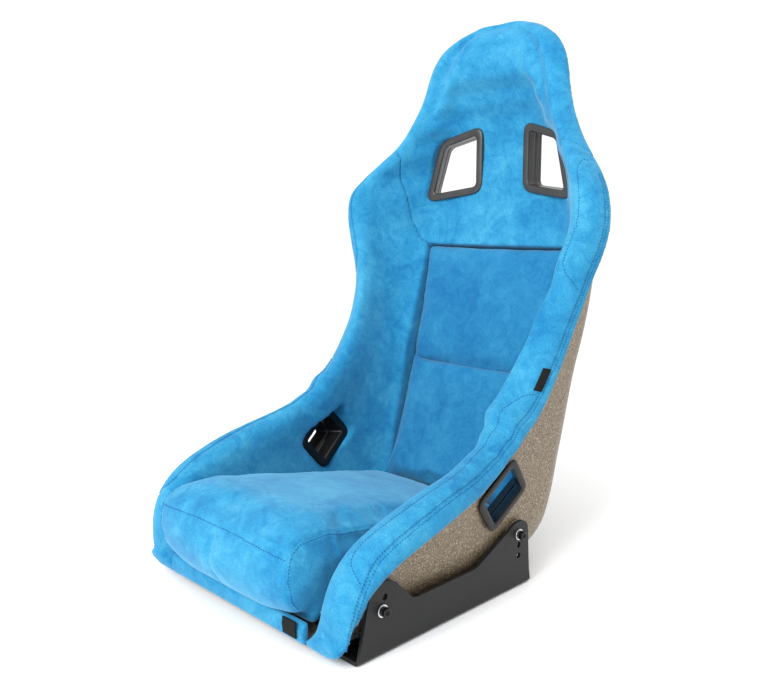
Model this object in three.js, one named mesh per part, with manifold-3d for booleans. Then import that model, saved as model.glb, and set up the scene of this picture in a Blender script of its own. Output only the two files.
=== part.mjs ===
// Fixed-back racing bucket seat on two side-mount brackets.
// Millimetres. +Z is up, the occupant faces -Y, and +X is the occupant's left.
// Heights are above the ground plane that the bracket feet stand on, and the section rows
// below measure Y from the front edge of the feet.
import * as THREE from 'three';
import { mergeVertices } from 'three/addons/utils/BufferGeometryUtils.js';
import Module from 'manifold-3d';

const wasm = await Module();
wasm.setup();

// ---------------------------------------------------------------- driving dimensions
const MIDDLE_Y = 261.46;            // from the front of the feet to the middle of the whole seat
const GAP = 0.4;                  // clearance between pieces that touch
const SHELL_WALL = 5;             // glass-fibre laminate
const FLAP_CLOTH = 4.5;           // cloth and foam wrapped over the outside of the shell
const RIM_COVER = 14;             // padding above the top edge of the shell wall
const SIDE_COVER = 8;             // padding outside the shell wall at the rim
const PAD_WELL_HALF = 151;        // half-width of the recess that holds the back pads
const CUSHION_WELL_HALF = 159;    // and of the one that holds the seat cushion

// Sections of the bucket, from the front lip round the seat to the crown of the head.
// back: outer skin of the shell on the centre line [y, z]; rim: crest of the side roll [y, z].
// x values are half-widths: crest of the roll, its outermost point, the sewn inner seam,
// the base of the shell wall. Heights (centre, edge, wall) are measured from back to rim.
const SECTIONS = [
  { back: [-20, 16], rim: [-24, 38], crest: 206, outer: 224, seam: 184, base: 200, corner: 10, flap: 16 },
  { back: [-15, 15], rim: [-27, 58], crest: 209, outer: 230, seam: 185, base: 202, corner: 28, flap: 34 },
  { back: [-5, 15], rim: [-22, 94], crest: 213, outer: 236, seam: 187, base: 203, corner: 40, flap: 66 },
  { back: [10, 15], rim: [-8, 124], crest: 217, outer: 242, seam: 189, base: 203, corner: 45, flap: 78 },
  { back: [30, 15], rim: [16, 148], crest: 220, outer: 247, seam: 191, base: 203, corner: 45, flap: 76 },
  { back: [62, 15], rim: [52, 166], crest: 226, outer: 252, seam: 193, base: 203, corner: 45, flap: 62 },
  { back: [122, 15], rim: [110, 186], crest: 229, outer: 255, seam: 195, base: 203, corner: 45, flap: 50 },
  { back: [185, 16], rim: [168, 201], crest: 227, outer: 252, seam: 197, base: 203, corner: 45, flap: 48 },
  { back: [245, 17], rim: [212, 211], crest: 224, outer: 247, seam: 200, base: 204, corner: 48, flap: 38 },
  { back: [300, 18], rim: [245, 220], crest: 221, outer: 243, seam: 202, base: 205, corner: 55, flap: 32 },
  { back: [352, 20], rim: [268, 229], crest: 219, outer: 240, seam: 202, base: 207, corner: 62, flap: 28 },
  { back: [398, 25], rim: [286, 236], crest: 218, outer: 238, seam: 201, base: 208, corner: 70, flap: 26 },
  { back: [434, 42], rim: [300, 244], crest: 217, outer: 237, seam: 200, base: 209, corner: 76, flap: 25 },
  { back: [457, 76], rim: [312, 252], crest: 216, outer: 236, seam: 200, base: 210, corner: 80, flap: 25 },
  { back: [474, 122], rim: [322, 257], crest: 215, outer: 235, seam: 200, base: 210, corner: 80, flap: 25 },
  { back: [491, 190], rim: [338, 267], crest: 213, outer: 235, seam: 201, base: 210, corner: 80, flap: 25 },
  { back: [504, 259], rim: [364, 294], crest: 212, outer: 235, seam: 203, base: 210, corner: 80, flap: 25 },
  { back: [512, 302], rim: [390, 333], crest: 213, outer: 236, seam: 206, base: 210, corner: 80, flap: 25 },
  { back: [526, 345], rim: [410, 373], crest: 216, outer: 238, seam: 210, base: 209, corner: 82, flap: 26 },
  { back: [538, 384], rim: [420, 415], crest: 219, outer: 244, seam: 213, base: 208, corner: 84, flap: 32 },
  { back: [551, 422], rim: [423, 458], crest: 227, outer: 254, seam: 217, base: 206, corner: 86, flap: 38 },
  { back: [565, 460], rim: [421, 501], crest: 238, outer: 268, seam: 222, base: 204, corner: 88, flap: 46 },
  { back: [579, 500], rim: [418, 544], crest: 246, outer: 277, seam: 227, base: 202, corner: 90, flap: 50 },
  { back: [584, 546], rim: [420, 587], crest: 241, outer: 272, seam: 226, base: 196, corner: 90, flap: 50 },
  { back: [584, 590], rim: [437, 618], crest: 220, outer: 250, seam: 206, base: 186, corner: 85, flap: 46 },
  { back: [583, 630], rim: [457, 647], crest: 195, outer: 221, seam: 182, base: 172, corner: 78, flap: 40 },
  { back: [583, 668], rim: [477, 676], crest: 170, outer: 194, seam: 158, base: 156, corner: 70, flap: 34 },
  { back: [583, 708], rim: [488, 712], crest: 147, outer: 172, seam: 134, base: 139, corner: 62, flap: 34 },
  { back: [581, 752], rim: [499, 750], crest: 130, outer: 156, seam: 116, base: 126, corner: 55, flap: 33 },
  { back: [578, 790], rim: [505, 785], crest: 119, outer: 147, seam: 104, base: 118, corner: 50, flap: 32 },
  { back: [574, 820], rim: [509, 812], crest: 108, outer: 136, seam: 92, base: 108, corner: 44, flap: 30 },
  { back: [568, 842], rim: [514, 835], crest: 88, outer: 117, seam: 72, base: 90, corner: 36, flap: 26 },
  { back: [561, 859], rim: [523, 853], crest: 60, outer: 88, seam: 46, base: 64, corner: 24, flap: 20 },
  { back: [557, 867], rim: [533, 865], crest: 33, outer: 57, seam: 24, base: 38, corner: 12, flap: 12 },
  { back: [556, 870], rim: [532, 869], crest: 18, outer: 40, seam: 13, base: 26, corner: 6, flap: 14 },
];

// Front face of the padding inside the side rolls, row by row of SECTIONS.
// Each entry is [first row, centre height, edge x, edge height, wall x, wall height as a share of the rim].
const LININGS = [
  [0, 6, 158, 7, 172, 0.62],
  [2, 7, 160, 14, 176, 0.6],
  [5, 8, 162, 20, 179, 0.58],
  [9, 8, 162, 26, 191, 0.56],
  [12, 10, 158, 40, 184, 0.56],
  [14, 30, 152, 50, 176, 0.6],
  [16, 34, 151, 42, 172, 0.62],
  [19, 38, 151, 42, 181, 0.62],
  [22, 42, 152, 50, 200, 0.64],
  [24, 29, 140, 48, 184, 0.65],
  [26, 21, 110, 38, 142, 0.69],
  [27, 26, 90, 40, 118, 0.78],
  [28, 44, 80, 50, 100, 0.873],
  [29, 64, 62, 66, 86, 0.955],
  [30, 62, 56, 63, 78, 0.968],
  [31, 52, 42, 52, 58, 0.975],
  [33, 22, 12, 22, 16, 0.976],
  [34, 18, 7, 18, 10, 0.98],
];

// The shell wall stays nearly upright beside the brackets and flares above this knee.
// Each entry is [row, half-width at the knee, knee height as a share of the rim].
const KNEES = [
  [0, 212, 0.5], [2, 215, 0.6], [3, 216, 0.62], [5, 216.5, 0.6], [9, 217, 0.46], [12, 217, 0.42], [14, 217, 0.45],
  [17, 219, 0.5], [20, 226, 0.5], [22, 233, 0.5], [24, 212, 0.5], [26, 170, 0.5], [28, 137, 0.5], [31, 99, 0.5],
  [34, 29, 0.5],
];

// The side roll stands forward and inboard of the shell's edge beside the back pads.
// Each entry is [row, rise of the crest, shift inboard].
const ROLLS = [
  [0, 0, 0], [7, 0, 0], [9, 4, 10], [11, 10, 20], [13, 24, 26], [16, 30, 27], [18, 26, 23], [20, 12, 12],
  [22, 0, 0], [34, 0, 0],
];

const SHOULDER_SLOT = {
  corners: [[0, 59], [0, -59], [118, -76], [88, 34]],   // flange corners, from its inboard edge
  inboard: [45, 557, 648.5],
  splay: THREE.MathUtils.degToRad(12),                  // outboard side nearer to the occupant
  ring: 13,
  round: 22,
  rearPlane: [45, 585, 648.5],
  rearSplay: THREE.MathUtils.degToRad(7),
  rearStretch: 1.17,                                    // the sleeve widens outboard towards the rear
};
const LAP_SLOT = {
  length: 92,
  width: 74,
  ring: 13,
  round: 16,
  pitch: THREE.MathUtils.degToRad(38.5),                // long side above the horizontal
  inner: [195, 303, 157],
  outer: [229, 276, 155],
  innerLean: 0.22,                                      // sideways lean of the wall per mm of height
  outerLean: 0.16,
};
const BRACKET = {
  outside: 224.6,
  plate: 5,
  foot: 50,
  frontBolt: [41, 61],
  rearBolt: [322, 83],
  boltHoles: [[41, 61], [46, 77.5], [322, 83], [323, 66.5], [323, 50]],
  holeRadius: 4.4,
  footSlots: [48, 300],
  slotLength: 34,
};
const BOLT = { shank: 4, head: 6.5, headHeight: 8, reach: 19, socket: 3.4, socketDepth: 4.5 };
const WASHER = { outer: 8.5, inner: 4.4, thickness: 1.6 };
const INSERT = { outer: 7.5, bore: 4.35, length: 12, flange: 12, flangeThickness: 2 };
const BOSS = { radius: 20, from: 196 };

// ---------------------------------------------------------------- small helpers
const group = new THREE.Group();
group.position.y = -MIDDLE_Y;
const V3 = (x, y, z) => new THREE.Vector3(x, y, z);

function solidOf(geometry) {
  const plain = geometry.clone();
  for (const name of ['normal', 'uv']) {
    plain.deleteAttribute(name);
  }
  const merged = mergeVertices(plain, 1e-3);
  return new wasm.Manifold(new wasm.Mesh({
    numProp: 3,
    vertProperties: new Float32Array(merged.attributes.position.array),
    triVerts: new Uint32Array(merged.index.array),
  }));
}

function geometryOf(solid) {
  const mesh = solid.getMesh();
  const geometry = new THREE.BufferGeometry();
  geometry.setAttribute('position', new THREE.BufferAttribute(new Float32Array(mesh.vertProperties), 3));
  geometry.setIndex(new THREE.BufferAttribute(new Uint32Array(mesh.triVerts), 1));
  geometry.computeVertexNormals();
  return geometry;
}

function addPiece(name, shape, finish) {
  const geometry = shape.isBufferGeometry ? shape : geometryOf(shape);
  const mesh = new THREE.Mesh(geometry, new THREE.MeshStandardMaterial(finish));
  mesh.name = name;
  group.add(mesh);
  return mesh;
}

// Smooth curve through evenly spaced values, read at a fractional row.
function smooth(values, row) {
  const last = values.length - 1;
  const at = Math.min(Math.max(row, 0), last);
  const i = Math.min(Math.floor(at), last - 1);
  const t = at - i;
  const [a, b, c, d] = [-1, 0, 1, 2].map((k) => values[Math.min(Math.max(i + k, 0), last)]);
  return b + 0.5 * t * (c - a + t * (2 * a - 5 * b + 4 * c - d + t * (3 * (b - c) + d - a)));
}

// Straight interpolation between rows given as [row, values...].
function between(rows, row) {
  let k = 0;
  while (k < rows.length - 2 && rows[k + 1][0] <= row) {
    k += 1;
  }
  const [a, b] = [rows[k], rows[k + 1]];
  const t = THREE.MathUtils.clamp((row - a[0]) / (b[0] - a[0]), 0, 1);
  const eased = t * t * (3 - 2 * t);
  return a.slice(1).map((value, i) => value + (b[i + 1] - value) * eased);
}

// Closed body through rings of equal length; each end is capped inside its own section.
function loft(rings, flatRings) {
  const count = rings[0].length;
  const positions = rings.flat().flatMap((p) => [p.x, p.y, p.z]);
  const index = [];
  for (let r = 0; r < rings.length - 1; r += 1) {
    for (let i = 0; i < count; i += 1) {
      const a = r * count + i;
      const b = r * count + (i + 1) % count;
      index.push(a, b, b + count, a, b + count, a + count);
    }
  }
  const caps = [[0, flatRings[0]], [rings.length - 1, flatRings[flatRings.length - 1]]];
  caps.forEach(([r, flat], end) => {
    const turned = THREE.ShapeUtils.isClockWise(flat) !== (end === 0);
    for (const [a, b, c] of THREE.ShapeUtils.triangulateShape(flat, [])) {
      const face = [a, b, c].map((i) => r * count + i);
      index.push(...(turned ? [face[0], face[2], face[1]] : face));
    }
  });
  const geometry = new THREE.BufferGeometry();
  geometry.setAttribute('position', new THREE.Float32BufferAttribute(positions, 3));
  geometry.setIndex(index);
  const solid = solidOf(geometry);
  if (solid.volume() > 0) {
    return solid;
  }
  const flipped = [];
  for (let i = 0; i < index.length; i += 3) {
    flipped.push(index[i], index[i + 2], index[i + 1]);
  }
  geometry.setIndex(flipped);
  return solidOf(geometry);
}

// ---------------------------------------------------------------- sections of the bucket
function section(row) {
  const read = (key) => smooth(SECTIONS.map((s) => s[key]), row);
  const pair = (key) => [0, 1].map((k) => smooth(SECTIONS.map((s) => s[key][k]), row));
  const [by, bz] = pair('back');
  const [ry, rz] = pair('rim');
  const rim = Math.hypot(ry - by, rz - bz);
  const [centre, edgeX, edge, wallX, wallShare] = between(LININGS, row);
  const [kneeX, kneeShare] = between(KNEES, row);
  const [rise, inboard] = between(ROLLS, row);
  return {
    by, bz, centre, edgeX, edge, wallX, kneeX,
    rim: rim + rise,
    cover: RIM_COVER + rise,
    knee: kneeShare * rim,
    wall: wallShare * rim,
    up: [(ry - by) / rim, (rz - bz) / rim],
    crest: read('crest') - inboard,
    outer: read('outer'),
    seam: read('seam') - inboard,
    base: read('base'),
    corner: read('corner'),
    flap: read('flap') + rise,
  };
}

const place = (s, [x, h]) => V3(x, s.by + s.up[0] * h, s.bz + s.up[1] * h);

// Half profile of the shell: flat floor, rounded corner, flaring wall. Points carry inward normals,
// and the top edge may be carried on by an extra length.
const FLOOR_STEPS = 1;
const CORNER_STEPS = 4;
function shellHalf(s, extra = 0) {
  const topX = s.outer - SIDE_COVER;
  const topH = Math.max(s.rim - s.cover, 3);
  const kneeH = Math.min(s.knee, topH * 0.7);
  const turn = Math.atan2(kneeH, s.kneeX - s.base);
  const wallLength = Math.hypot(kneeH, s.kneeX - s.base);
  const radius = Math.min(s.corner, 0.85 * wallLength / Math.tan(turn / 2));
  const start = s.base - radius * Math.tan(turn / 2);
  const points = [];
  for (let i = 0; i < FLOOR_STEPS; i += 1) {
    points.push({ x: start * i / FLOOR_STEPS, h: 0, nx: 0, nh: 1 });
  }
  for (let i = 0; i <= CORNER_STEPS; i += 1) {
    const a = turn * i / CORNER_STEPS;
    points.push({
      x: start + radius * Math.sin(a), h: radius * (1 - Math.cos(a)), nx: -Math.sin(a), nh: Math.cos(a),
    });
  }
  const flare = Math.atan2(topH - kneeH, topX - s.kneeX);
  const half = (turn + flare) / 2;
  points.push({ x: s.kneeX, h: kneeH, nx: -Math.sin(half), nh: Math.cos(half) });
  for (const past of extra > 0 ? [0, extra] : [0]) {
    points.push({
      x: topX + past * Math.cos(flare), h: topH + past * Math.sin(flare), nx: -Math.sin(flare), nh: Math.cos(flare),
    });
  }
  return points;
}

const offsetPoint = (p, d) => [p.x + p.nx * d, p.h + p.nh * d];
const mirrorRing = (half) => [...half.slice(1).reverse().map(([x, h]) => [-x, h]), ...half];

// Closed section of the shell wall between two offsets from its outer skin.
function shellRing(s, outside, inside, extra = 0) {
  const half = shellHalf(s, extra);
  const outerHalf = half.map((p) => offsetPoint(p, outside));
  const innerHalf = half.map((p) => offsetPoint(p, inside));
  return [...mirrorRing(outerHalf), ...mirrorRing(innerHalf).reverse()];
}

// Front face of the padding, from the centre line over the roll to the edge of the cloth outside.
const FRONT_STEPS = 13;
function frontHalf(s) {
  const roll = s.outer - s.crest;
  const drop = Math.min(roll * 1.3, s.flap * 0.8);
  const shell = shellHalf(s);
  const top = shell[shell.length - 1];
  const knee = shell[shell.length - 2];
  const flapH = Math.max(s.rim - s.flap, 2);
  const along = THREE.MathUtils.clamp((flapH - knee.h) / Math.max(top.h - knee.h, 1), 0, 1);
  const flapX = knee.x + (top.x - knee.x) * along + FLAP_CLOTH;
  const control = [
    [0, s.centre],
    [s.edgeX * 0.55, s.centre * 0.8 + s.edge * 0.2],
    [s.edgeX, s.edge],
    [s.wallX, s.wall],
    [s.seam, s.rim - Math.min(9, s.rim * 0.2)],
    [s.crest, s.rim],
    [s.crest + roll * 0.72, s.rim - drop * 0.36],
    [s.outer, s.rim - drop],
    [flapX + 1, (s.rim - drop) * 0.4 + flapH * 0.6],
    [flapX, flapH],
  ].map(([x, h]) => V3(x, h, 0));
  const curve = new THREE.CatmullRomCurve3(control, false, 'centripetal');
  const points = [];
  for (let i = 0; i <= FRONT_STEPS; i += 1) {
    const p = curve.getPoint(i / FRONT_STEPS);
    points.push([p.x, p.y]);
  }
  return points;
}

// Closed section of all the padding, backed by the middle of the shell wall.
function paddingRing(s) {
  const half = shellHalf(s);
  const backHalf = half.map((p) => offsetPoint(p, SHELL_WALL / 2));
  return [...mirrorRing(frontHalf(s)), ...mirrorRing(backHalf).reverse()];
}

// Body through the sections; past carries its two ends straight on by a distance.
function sweep(ringOf, rows, past = 0) {
  const flat = rows.map((row) => ringOf(section(row)));
  const rings = rows.map((row, i) => flat[i].map((p) => place(section(row), p)));
  if (past > 0) {
    const beyond = (row, i, distance) => {
      const s = section(row);
      const along = V3(0, s.up[1], -s.up[0]);
      return flat[i].map((p) => place(s, p).addScaledVector(along, distance));
    };
    rings.unshift(beyond(rows[0], 0, -past));
    rings.push(beyond(rows[rows.length - 1], rows.length - 1, past));
  }
  return loft(rings, flat.map((ring) => ring.map(([x, h]) => new THREE.Vector2(x, h))));
}

const LAST_ROW = SECTIONS.length - 1;
const allRows = SECTIONS.map((_, i) => i);

// ---------------------------------------------------------------- outline tools
// Polygon with rounded corners, as a THREE.Shape.
function roundedShape(corners, radius) {
  const shape = new THREE.Shape();
  corners.forEach(([x, y], i) => {
    const before = corners[(i + corners.length - 1) % corners.length];
    const after = corners[(i + 1) % corners.length];
    const cut = ([ax, ay]) => {
      const length = Math.hypot(ax - x, ay - y);
      return [x + (ax - x) * radius / length, y + (ay - y) * radius / length];
    };
    const from = cut(before);
    const to = cut(after);
    if (i === 0) {
      shape.moveTo(...from);
    } else {
      shape.lineTo(...from);
    }
    shape.quadraticCurveTo(x, y, ...to);
  });
  shape.closePath();
  return shape;
}

// Corners moved inward by a distance along each side's normal.
function inset(corners, distance) {
  const area = corners.reduce((sum, [x, y], i) => {
    const [nx, ny] = corners[(i + 1) % corners.length];
    return sum + x * ny - nx * y;
  }, 0);
  const side = Math.sign(area);
  return corners.map(([x, y], i) => {
    const [px, py] = corners[(i + corners.length - 1) % corners.length];
    const [qx, qy] = corners[(i + 1) % corners.length];
    const a = new THREE.Vector2(x - px, y - py).normalize();
    const b = new THREE.Vector2(qx - x, qy - y).normalize();
    const na = new THREE.Vector2(-a.y, a.x).multiplyScalar(side);
    const nb = new THREE.Vector2(-b.y, b.x).multiplyScalar(side);
    const k = distance / (1 + na.dot(nb));
    return [x + (na.x + nb.x) * k, y + (na.y + nb.y) * k];
  });
}

// Body through a row of placements of one outline.
function bridge(corners, radius, ...places) {
  const flat = roundedShape(corners, radius).getPoints(3);
  if (flat[0].distanceTo(flat[flat.length - 1]) < 1e-6) {
    flat.pop();
  }
  return loft(places.map((place) => flat.map(place)), places.map(() => flat));
}

function extrudeAcross(points, fromX, toX) {
  const shape = new THREE.Shape(points.map(([y, z]) => new THREE.Vector2(y, z)));
  const geometry = new THREE.ExtrudeGeometry(shape, { depth: toX - fromX, bevelEnabled: false });
  // shape x becomes world Y, shape y becomes world Z, and depth runs along X
  const basis = new THREE.Matrix4().makeBasis(V3(0, 1, 0), V3(0, 0, 1), V3(1, 0, 0));
  geometry.applyMatrix4(basis.setPosition(fromX, 0, 0));
  return solidOf(geometry);
}

function lathedAlongX(profile, segments) {
  const geometry = new THREE.LatheGeometry(profile.map(([r, x]) => new THREE.Vector2(r, x)), segments);
  geometry.rotateZ(-Math.PI / 2);
  return solidOf(geometry);
}

const mirrored = (solid) => solid.mirror([1, 0, 0]);

// ---------------------------------------------------------------- harness slots
// Shoulder slot frame: u outboard, v up, n towards the occupant.
function shoulderPlane(origin, splay, depth, stretch = 1) {
  const n = V3(-Math.sin(SHOULDER_SLOT.splay), -Math.cos(SHOULDER_SLOT.splay), 0);
  const u = V3(Math.cos(splay), -Math.sin(splay), 0).multiplyScalar(stretch);
  return (p) => V3(...origin).addScaledVector(u, p.x).addScaledVector(V3(0, 0, 1), p.y).addScaledVector(n, depth);
}

function lapPlane(origin, lean, depth) {
  const n = V3(...LAP_SLOT.outer).sub(V3(...LAP_SLOT.inner)).normalize();
  const c = Math.cos(LAP_SLOT.pitch);
  const d = Math.sin(LAP_SLOT.pitch);
  const long = V3(lean * d, c, d);
  const short = V3(-lean * c, d, -c);
  return (p) => V3(...origin).addScaledVector(long, p.x).addScaledVector(short, p.y).addScaledVector(n, depth);
}

const FLANGE_THICK = 4;
const SLEEVE_WALL = 2.6;
const SLOT_REACH = 14;            // how far a slot's tunnel is carried past its flanges when it is cut

// Two-part slot trim: each half is a flange with a sleeve that reaches to the middle of the padding.
// The tunnel follows straight lines from the front outline to the rear one.
function slotTrim(corners, ring, round, frontAt, rearAt) {
  const opening = inset(corners, ring);
  const sleeve = inset(corners, ring - SLEEVE_WALL);
  const innerRound = Math.max(round - ring, 4);
  const along = (t) => (p) => frontAt(0)(p).lerp(rearAt(0)(p), t);
  const span = frontAt(0)(new THREE.Vector2()).distanceTo(rearAt(0)(new THREE.Vector2()));
  const share = (distance) => distance / span;
  // short steps keep the twisted walls of the tunnel and of its room alike
  const steps = (from, to) => {
    const count = Math.ceil((to - from) / 0.125);
    return Array.from({ length: count + 1 }, (_, i) => along(from + (to - from) * i / count));
  };
  const cutter = bridge(opening, innerRound, ...steps(-share(SLOT_REACH), 1 + share(SLOT_REACH)));
  const front = bridge(corners, round, frontAt(FLANGE_THICK), frontAt(0))
    .add(bridge(sleeve, innerRound + 1, ...steps(-share(1), 0.5 - share(GAP / 2))))
    .subtract(cutter);
  const rear = bridge(corners, round, rearAt(0), rearAt(-FLANGE_THICK))
    .add(bridge(sleeve, innerRound + 1, ...steps(0.5 + share(GAP / 2), 1 + share(1))))
    .subtract(cutter);
  const clear = inset(corners, -GAP);
  const pocket = bridge(clear, round, frontAt(60), frontAt(-GAP))
    .add(bridge(clear, round, rearAt(GAP), rearAt(-60)))
    .add(bridge(inset(sleeve, -GAP), innerRound + 1, ...steps(-share(SLOT_REACH), 1 + share(SLOT_REACH))));
  return { front, rear, pocket };
}

const shoulderTrim = slotTrim(
  SHOULDER_SLOT.corners, SHOULDER_SLOT.ring, SHOULDER_SLOT.round,
  (depth) => shoulderPlane(SHOULDER_SLOT.inboard, SHOULDER_SLOT.splay, depth),
  (depth) => shoulderPlane(SHOULDER_SLOT.rearPlane, SHOULDER_SLOT.rearSplay, depth, SHOULDER_SLOT.rearStretch),
);
const lapCorners = [
  [-LAP_SLOT.length / 2, -LAP_SLOT.width / 2], [LAP_SLOT.length / 2, -LAP_SLOT.width / 2],
  [LAP_SLOT.length / 2, LAP_SLOT.width / 2], [-LAP_SLOT.length / 2, LAP_SLOT.width / 2],
];
const lapTrim = slotTrim(
  lapCorners, LAP_SLOT.ring, LAP_SLOT.round,
  (depth) => lapPlane(LAP_SLOT.inner, LAP_SLOT.innerLean, -depth),
  (depth) => lapPlane(LAP_SLOT.outer, LAP_SLOT.outerLean, -depth),
);

// ---------------------------------------------------------------- shell and upholstery
const mount = ([y, z], side) => ({ y, z, side });
const mounts = [-1, 1].flatMap((side) => [mount(BRACKET.frontBolt, side), mount(BRACKET.rearBolt, side)]);
const plateInside = BRACKET.outside - BRACKET.plate;
const bossFace = plateInside - GAP;

// Round body about an axis along X at a mount; the profile runs outboard from the seat's middle.
function atMount(m, profile, segments = 20) {
  const solid = lathedAlongX(profile, segments).translate([0, m.y, m.z]);
  return m.side > 0 ? solid : mirrored(solid);
}

const disc = (radius, from, to) => [[0, from], [radius, from], [radius, to], [0, to]];

const shellBody = sweep((s) => shellRing(s, 0, SHELL_WALL), allRows);
const shellRoom = sweep((s) => shellRing(s, -GAP, SHELL_WALL + GAP, 2), allRows, 3);
const bosses = mounts.map((m) => atMount(m, disc(BOSS.radius, BOSS.from, bossFace), 18));
const insertBores = mounts.map((m) => atMount(m, disc(INSERT.outer + GAP, 150, 260), 12));
const slotPockets = [shoulderTrim, lapTrim].flatMap(({ pocket }) => [pocket, mirrored(pocket)]);
const sum = (solids) => solids.reduce((a, b) => a.add(b));
const bossRoom = sum(mounts.map((m) => atMount(m, disc(BOSS.radius + 1.5, 150, 260), 18)));

// Keeps the largest body and drops the crumbs that a cut leaves.
function largest(solid) {
  const pieces = solid.simplify(0.02).decompose();
  return pieces.reduce((best, piece) => (piece.volume() > best.volume() ? piece : best));
}

const shell = largest(sum([shellBody, ...bosses]).subtract(sum([...insertBores, ...slotPockets])));
addPiece('shell', shell, { color: 0xa89478, roughness: 0.45, metalness: 0.55 });

// Side view of the recess that the loose pads sit in, and of the seam below the head panel.
const PAD_TOP = [536, 496];
const FORWARD = [-0.955, 0.296];
const padWell = extrudeAcross([
  [-200, -60], [760, -60], [760, PAD_TOP[1] - 69], PAD_TOP,
  [PAD_TOP[0] + FORWARD[0] * 700, PAD_TOP[1] + FORWARD[1] * 700],
], -PAD_WELL_HALF, PAD_WELL_HALF);
const cushionWell = extrudeAcross(
  [[-200, -60], [396, -60], [396, 92], [-10, 182], [-200, 182]], -CUSHION_WELL_HALF, CUSHION_WELL_HALF,
);
const SEAM = [[700, 440], [534, 492], [515, 531], [498, 586], [483, 636], [464, 676], [430, 720], [300, 840]];
const seamSide = (shift) => extrudeAcross([
  ...SEAM.map(([y, z]) => [y + shift, z + shift * 0.3]), [-300, 840], [-300, -80], [700, -80],
], -320, 320);

const padding = sweep(paddingRing, allRows)
  .subtract(shellRoom)
  .subtract(padWell)
  .subtract(cushionWell)
  .subtract(bossRoom)
  .subtract(sum(slotPockets));
const headPanel = padding.subtract(seamSide(GAP)).simplify(0.02);
const sideRoom = (from, to) => extrudeAcross([[-300, -80], [760, -80], [760, 900], [-300, 900]], from, to);
const bolsters = padding.intersect(seamSide(-GAP)).simplify(0.02);
const SUEDE = { color: 0x2f8fd0, roughness: 0.95, metalness: 0 };
addPiece('headrest_panel', largest(headPanel), SUEDE);
addPiece('bolster_left', largest(bolsters.intersect(sideRoom(20, 320))), SUEDE);
addPiece('bolster_right', largest(bolsters.intersect(sideRoom(-320, -20))), SUEDE);

// ---------------------------------------------------------------- loose pads
// Body across the seat from rear and front curves of equal length in the side view.
const PAD_ACROSS = 9;
function padBody(rear, front, half, crown) {
  const rings = rear.map((r, k) => {
    const f = front[k];
    const end = Math.min(k, rear.length - 1 - k) / 2;
    const swell = crown * Math.min(end, 1);
    const face = [];
    for (let i = 0; i <= PAD_ACROSS; i += 1) {
      const u = 2 * i / PAD_ACROSS - 1;
      const bulge = swell * (1 - Math.abs(u) ** 3) - crown * 0.6;
      const length = Math.hypot(f[0] - r[0], f[1] - r[1]);
      face.push(V3(u * half, f[0] + (f[0] - r[0]) / length * bulge, f[1] + (f[1] - r[1]) / length * bulge));
    }
    return [V3(half, r[0], r[1]), V3(-half, r[0], r[1]), ...face];
  });
  const flat = [0, rear.length - 1].map((k) => rings[k].map((p) => new THREE.Vector2(
    p.x, Math.hypot(p.y - rear[k][0], p.z - rear[k][1]),
  )));
  return loft(rings, flat);
}

// Inner skin of the shell on the centre line at a height, for the back.
function backAt(z, clearance) {
  let low = 12;
  let high = 30;
  for (let i = 0; i < 40; i += 1) {
    const mid = (low + high) / 2;
    if (section(mid).bz < z) {
      low = mid;
    } else {
      high = mid;
    }
  }
  return section(low).by - SHELL_WALL - clearance;
}

const PAD_HALF = 149.5;
const STRIP_THICK = 2;
const padClear = STRIP_THICK + 2 * GAP + 2;
const lumbarRows = [[88, 410], [100, 408], [150, 431], [200, 451], [250, 468], [272, 476], [280, 481]];
const upperRows = [[285, 484], [293, 482], [330, 489], [380, 502], [430, 515], [476, 528], [488, 534]];
const padFrom = (rows, crown) => {
  const rear = rows.map(([z]) => [backAt(z - 4, padClear), z - 2]);
  const front = rows.map(([z, y]) => [y, z]);
  return padBody(rear, front, PAD_HALF, crown);
};
const lumbarPad = padFrom(lumbarRows, 9);
const upperPad = padFrom(upperRows, 9);

// Seat cushion: side profile of the middle, pulled back and lowered a little at its two ends.
const CUSHION_HALF = 158;
const CUSHION_SIDE = [
  [-14, 22.8], [100, 23.4], [300, 26.6], [345, 29], [386, 38], [392, 60], [386, 84], [300, 106], [200, 130],
  [100, 152], [20, 166], [-24, 166], [-50, 157], [-63, 140], [-66, 105], [-60, 70], [-46, 48], [-20, 46.5],
];
const CUSHION_RINGS = 9;
const CLOTH = 2.4;
function cushionBody(shrink) {
  const rings = [];
  const side = inset(CUSHION_SIDE, shrink);
  for (let i = 0; i <= CUSHION_RINGS; i += 1) {
    const u = 2 * i / CUSHION_RINGS - 1;
    const fall = Math.abs(u) ** 4;
    rings.push(side.map(([y, z]) => V3(
      u * (CUSHION_HALF - shrink),
      y + (y < -30 ? 9 * fall : 0),
      z > 60 ? z - 10 * fall * (z - 60) / 100 : z,
    )));
  }
  return loft(rings, [rings[0], rings[CUSHION_RINGS]].map((ring) => ring.map((p) => new THREE.Vector2(p.y, p.z))));
}
const zipOpening = extrudeAcross([[60, 10], [300, 10], [300, 32], [60, 32]], -110, 110);
const cushionCover = cushionBody(0).subtract(cushionBody(CLOTH)).subtract(zipOpening);
addPiece('seat_cushion_cover', cushionCover, SUEDE);
addPiece('seat_cushion_foam', cushionBody(CLOTH + GAP), { color: 0xd9d2a8, roughness: 1, metalness: 0 });
addPiece('lumbar_pad', lumbarPad, SUEDE);
addPiece('upper_back_pad', upperPad, SUEDE);

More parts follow.
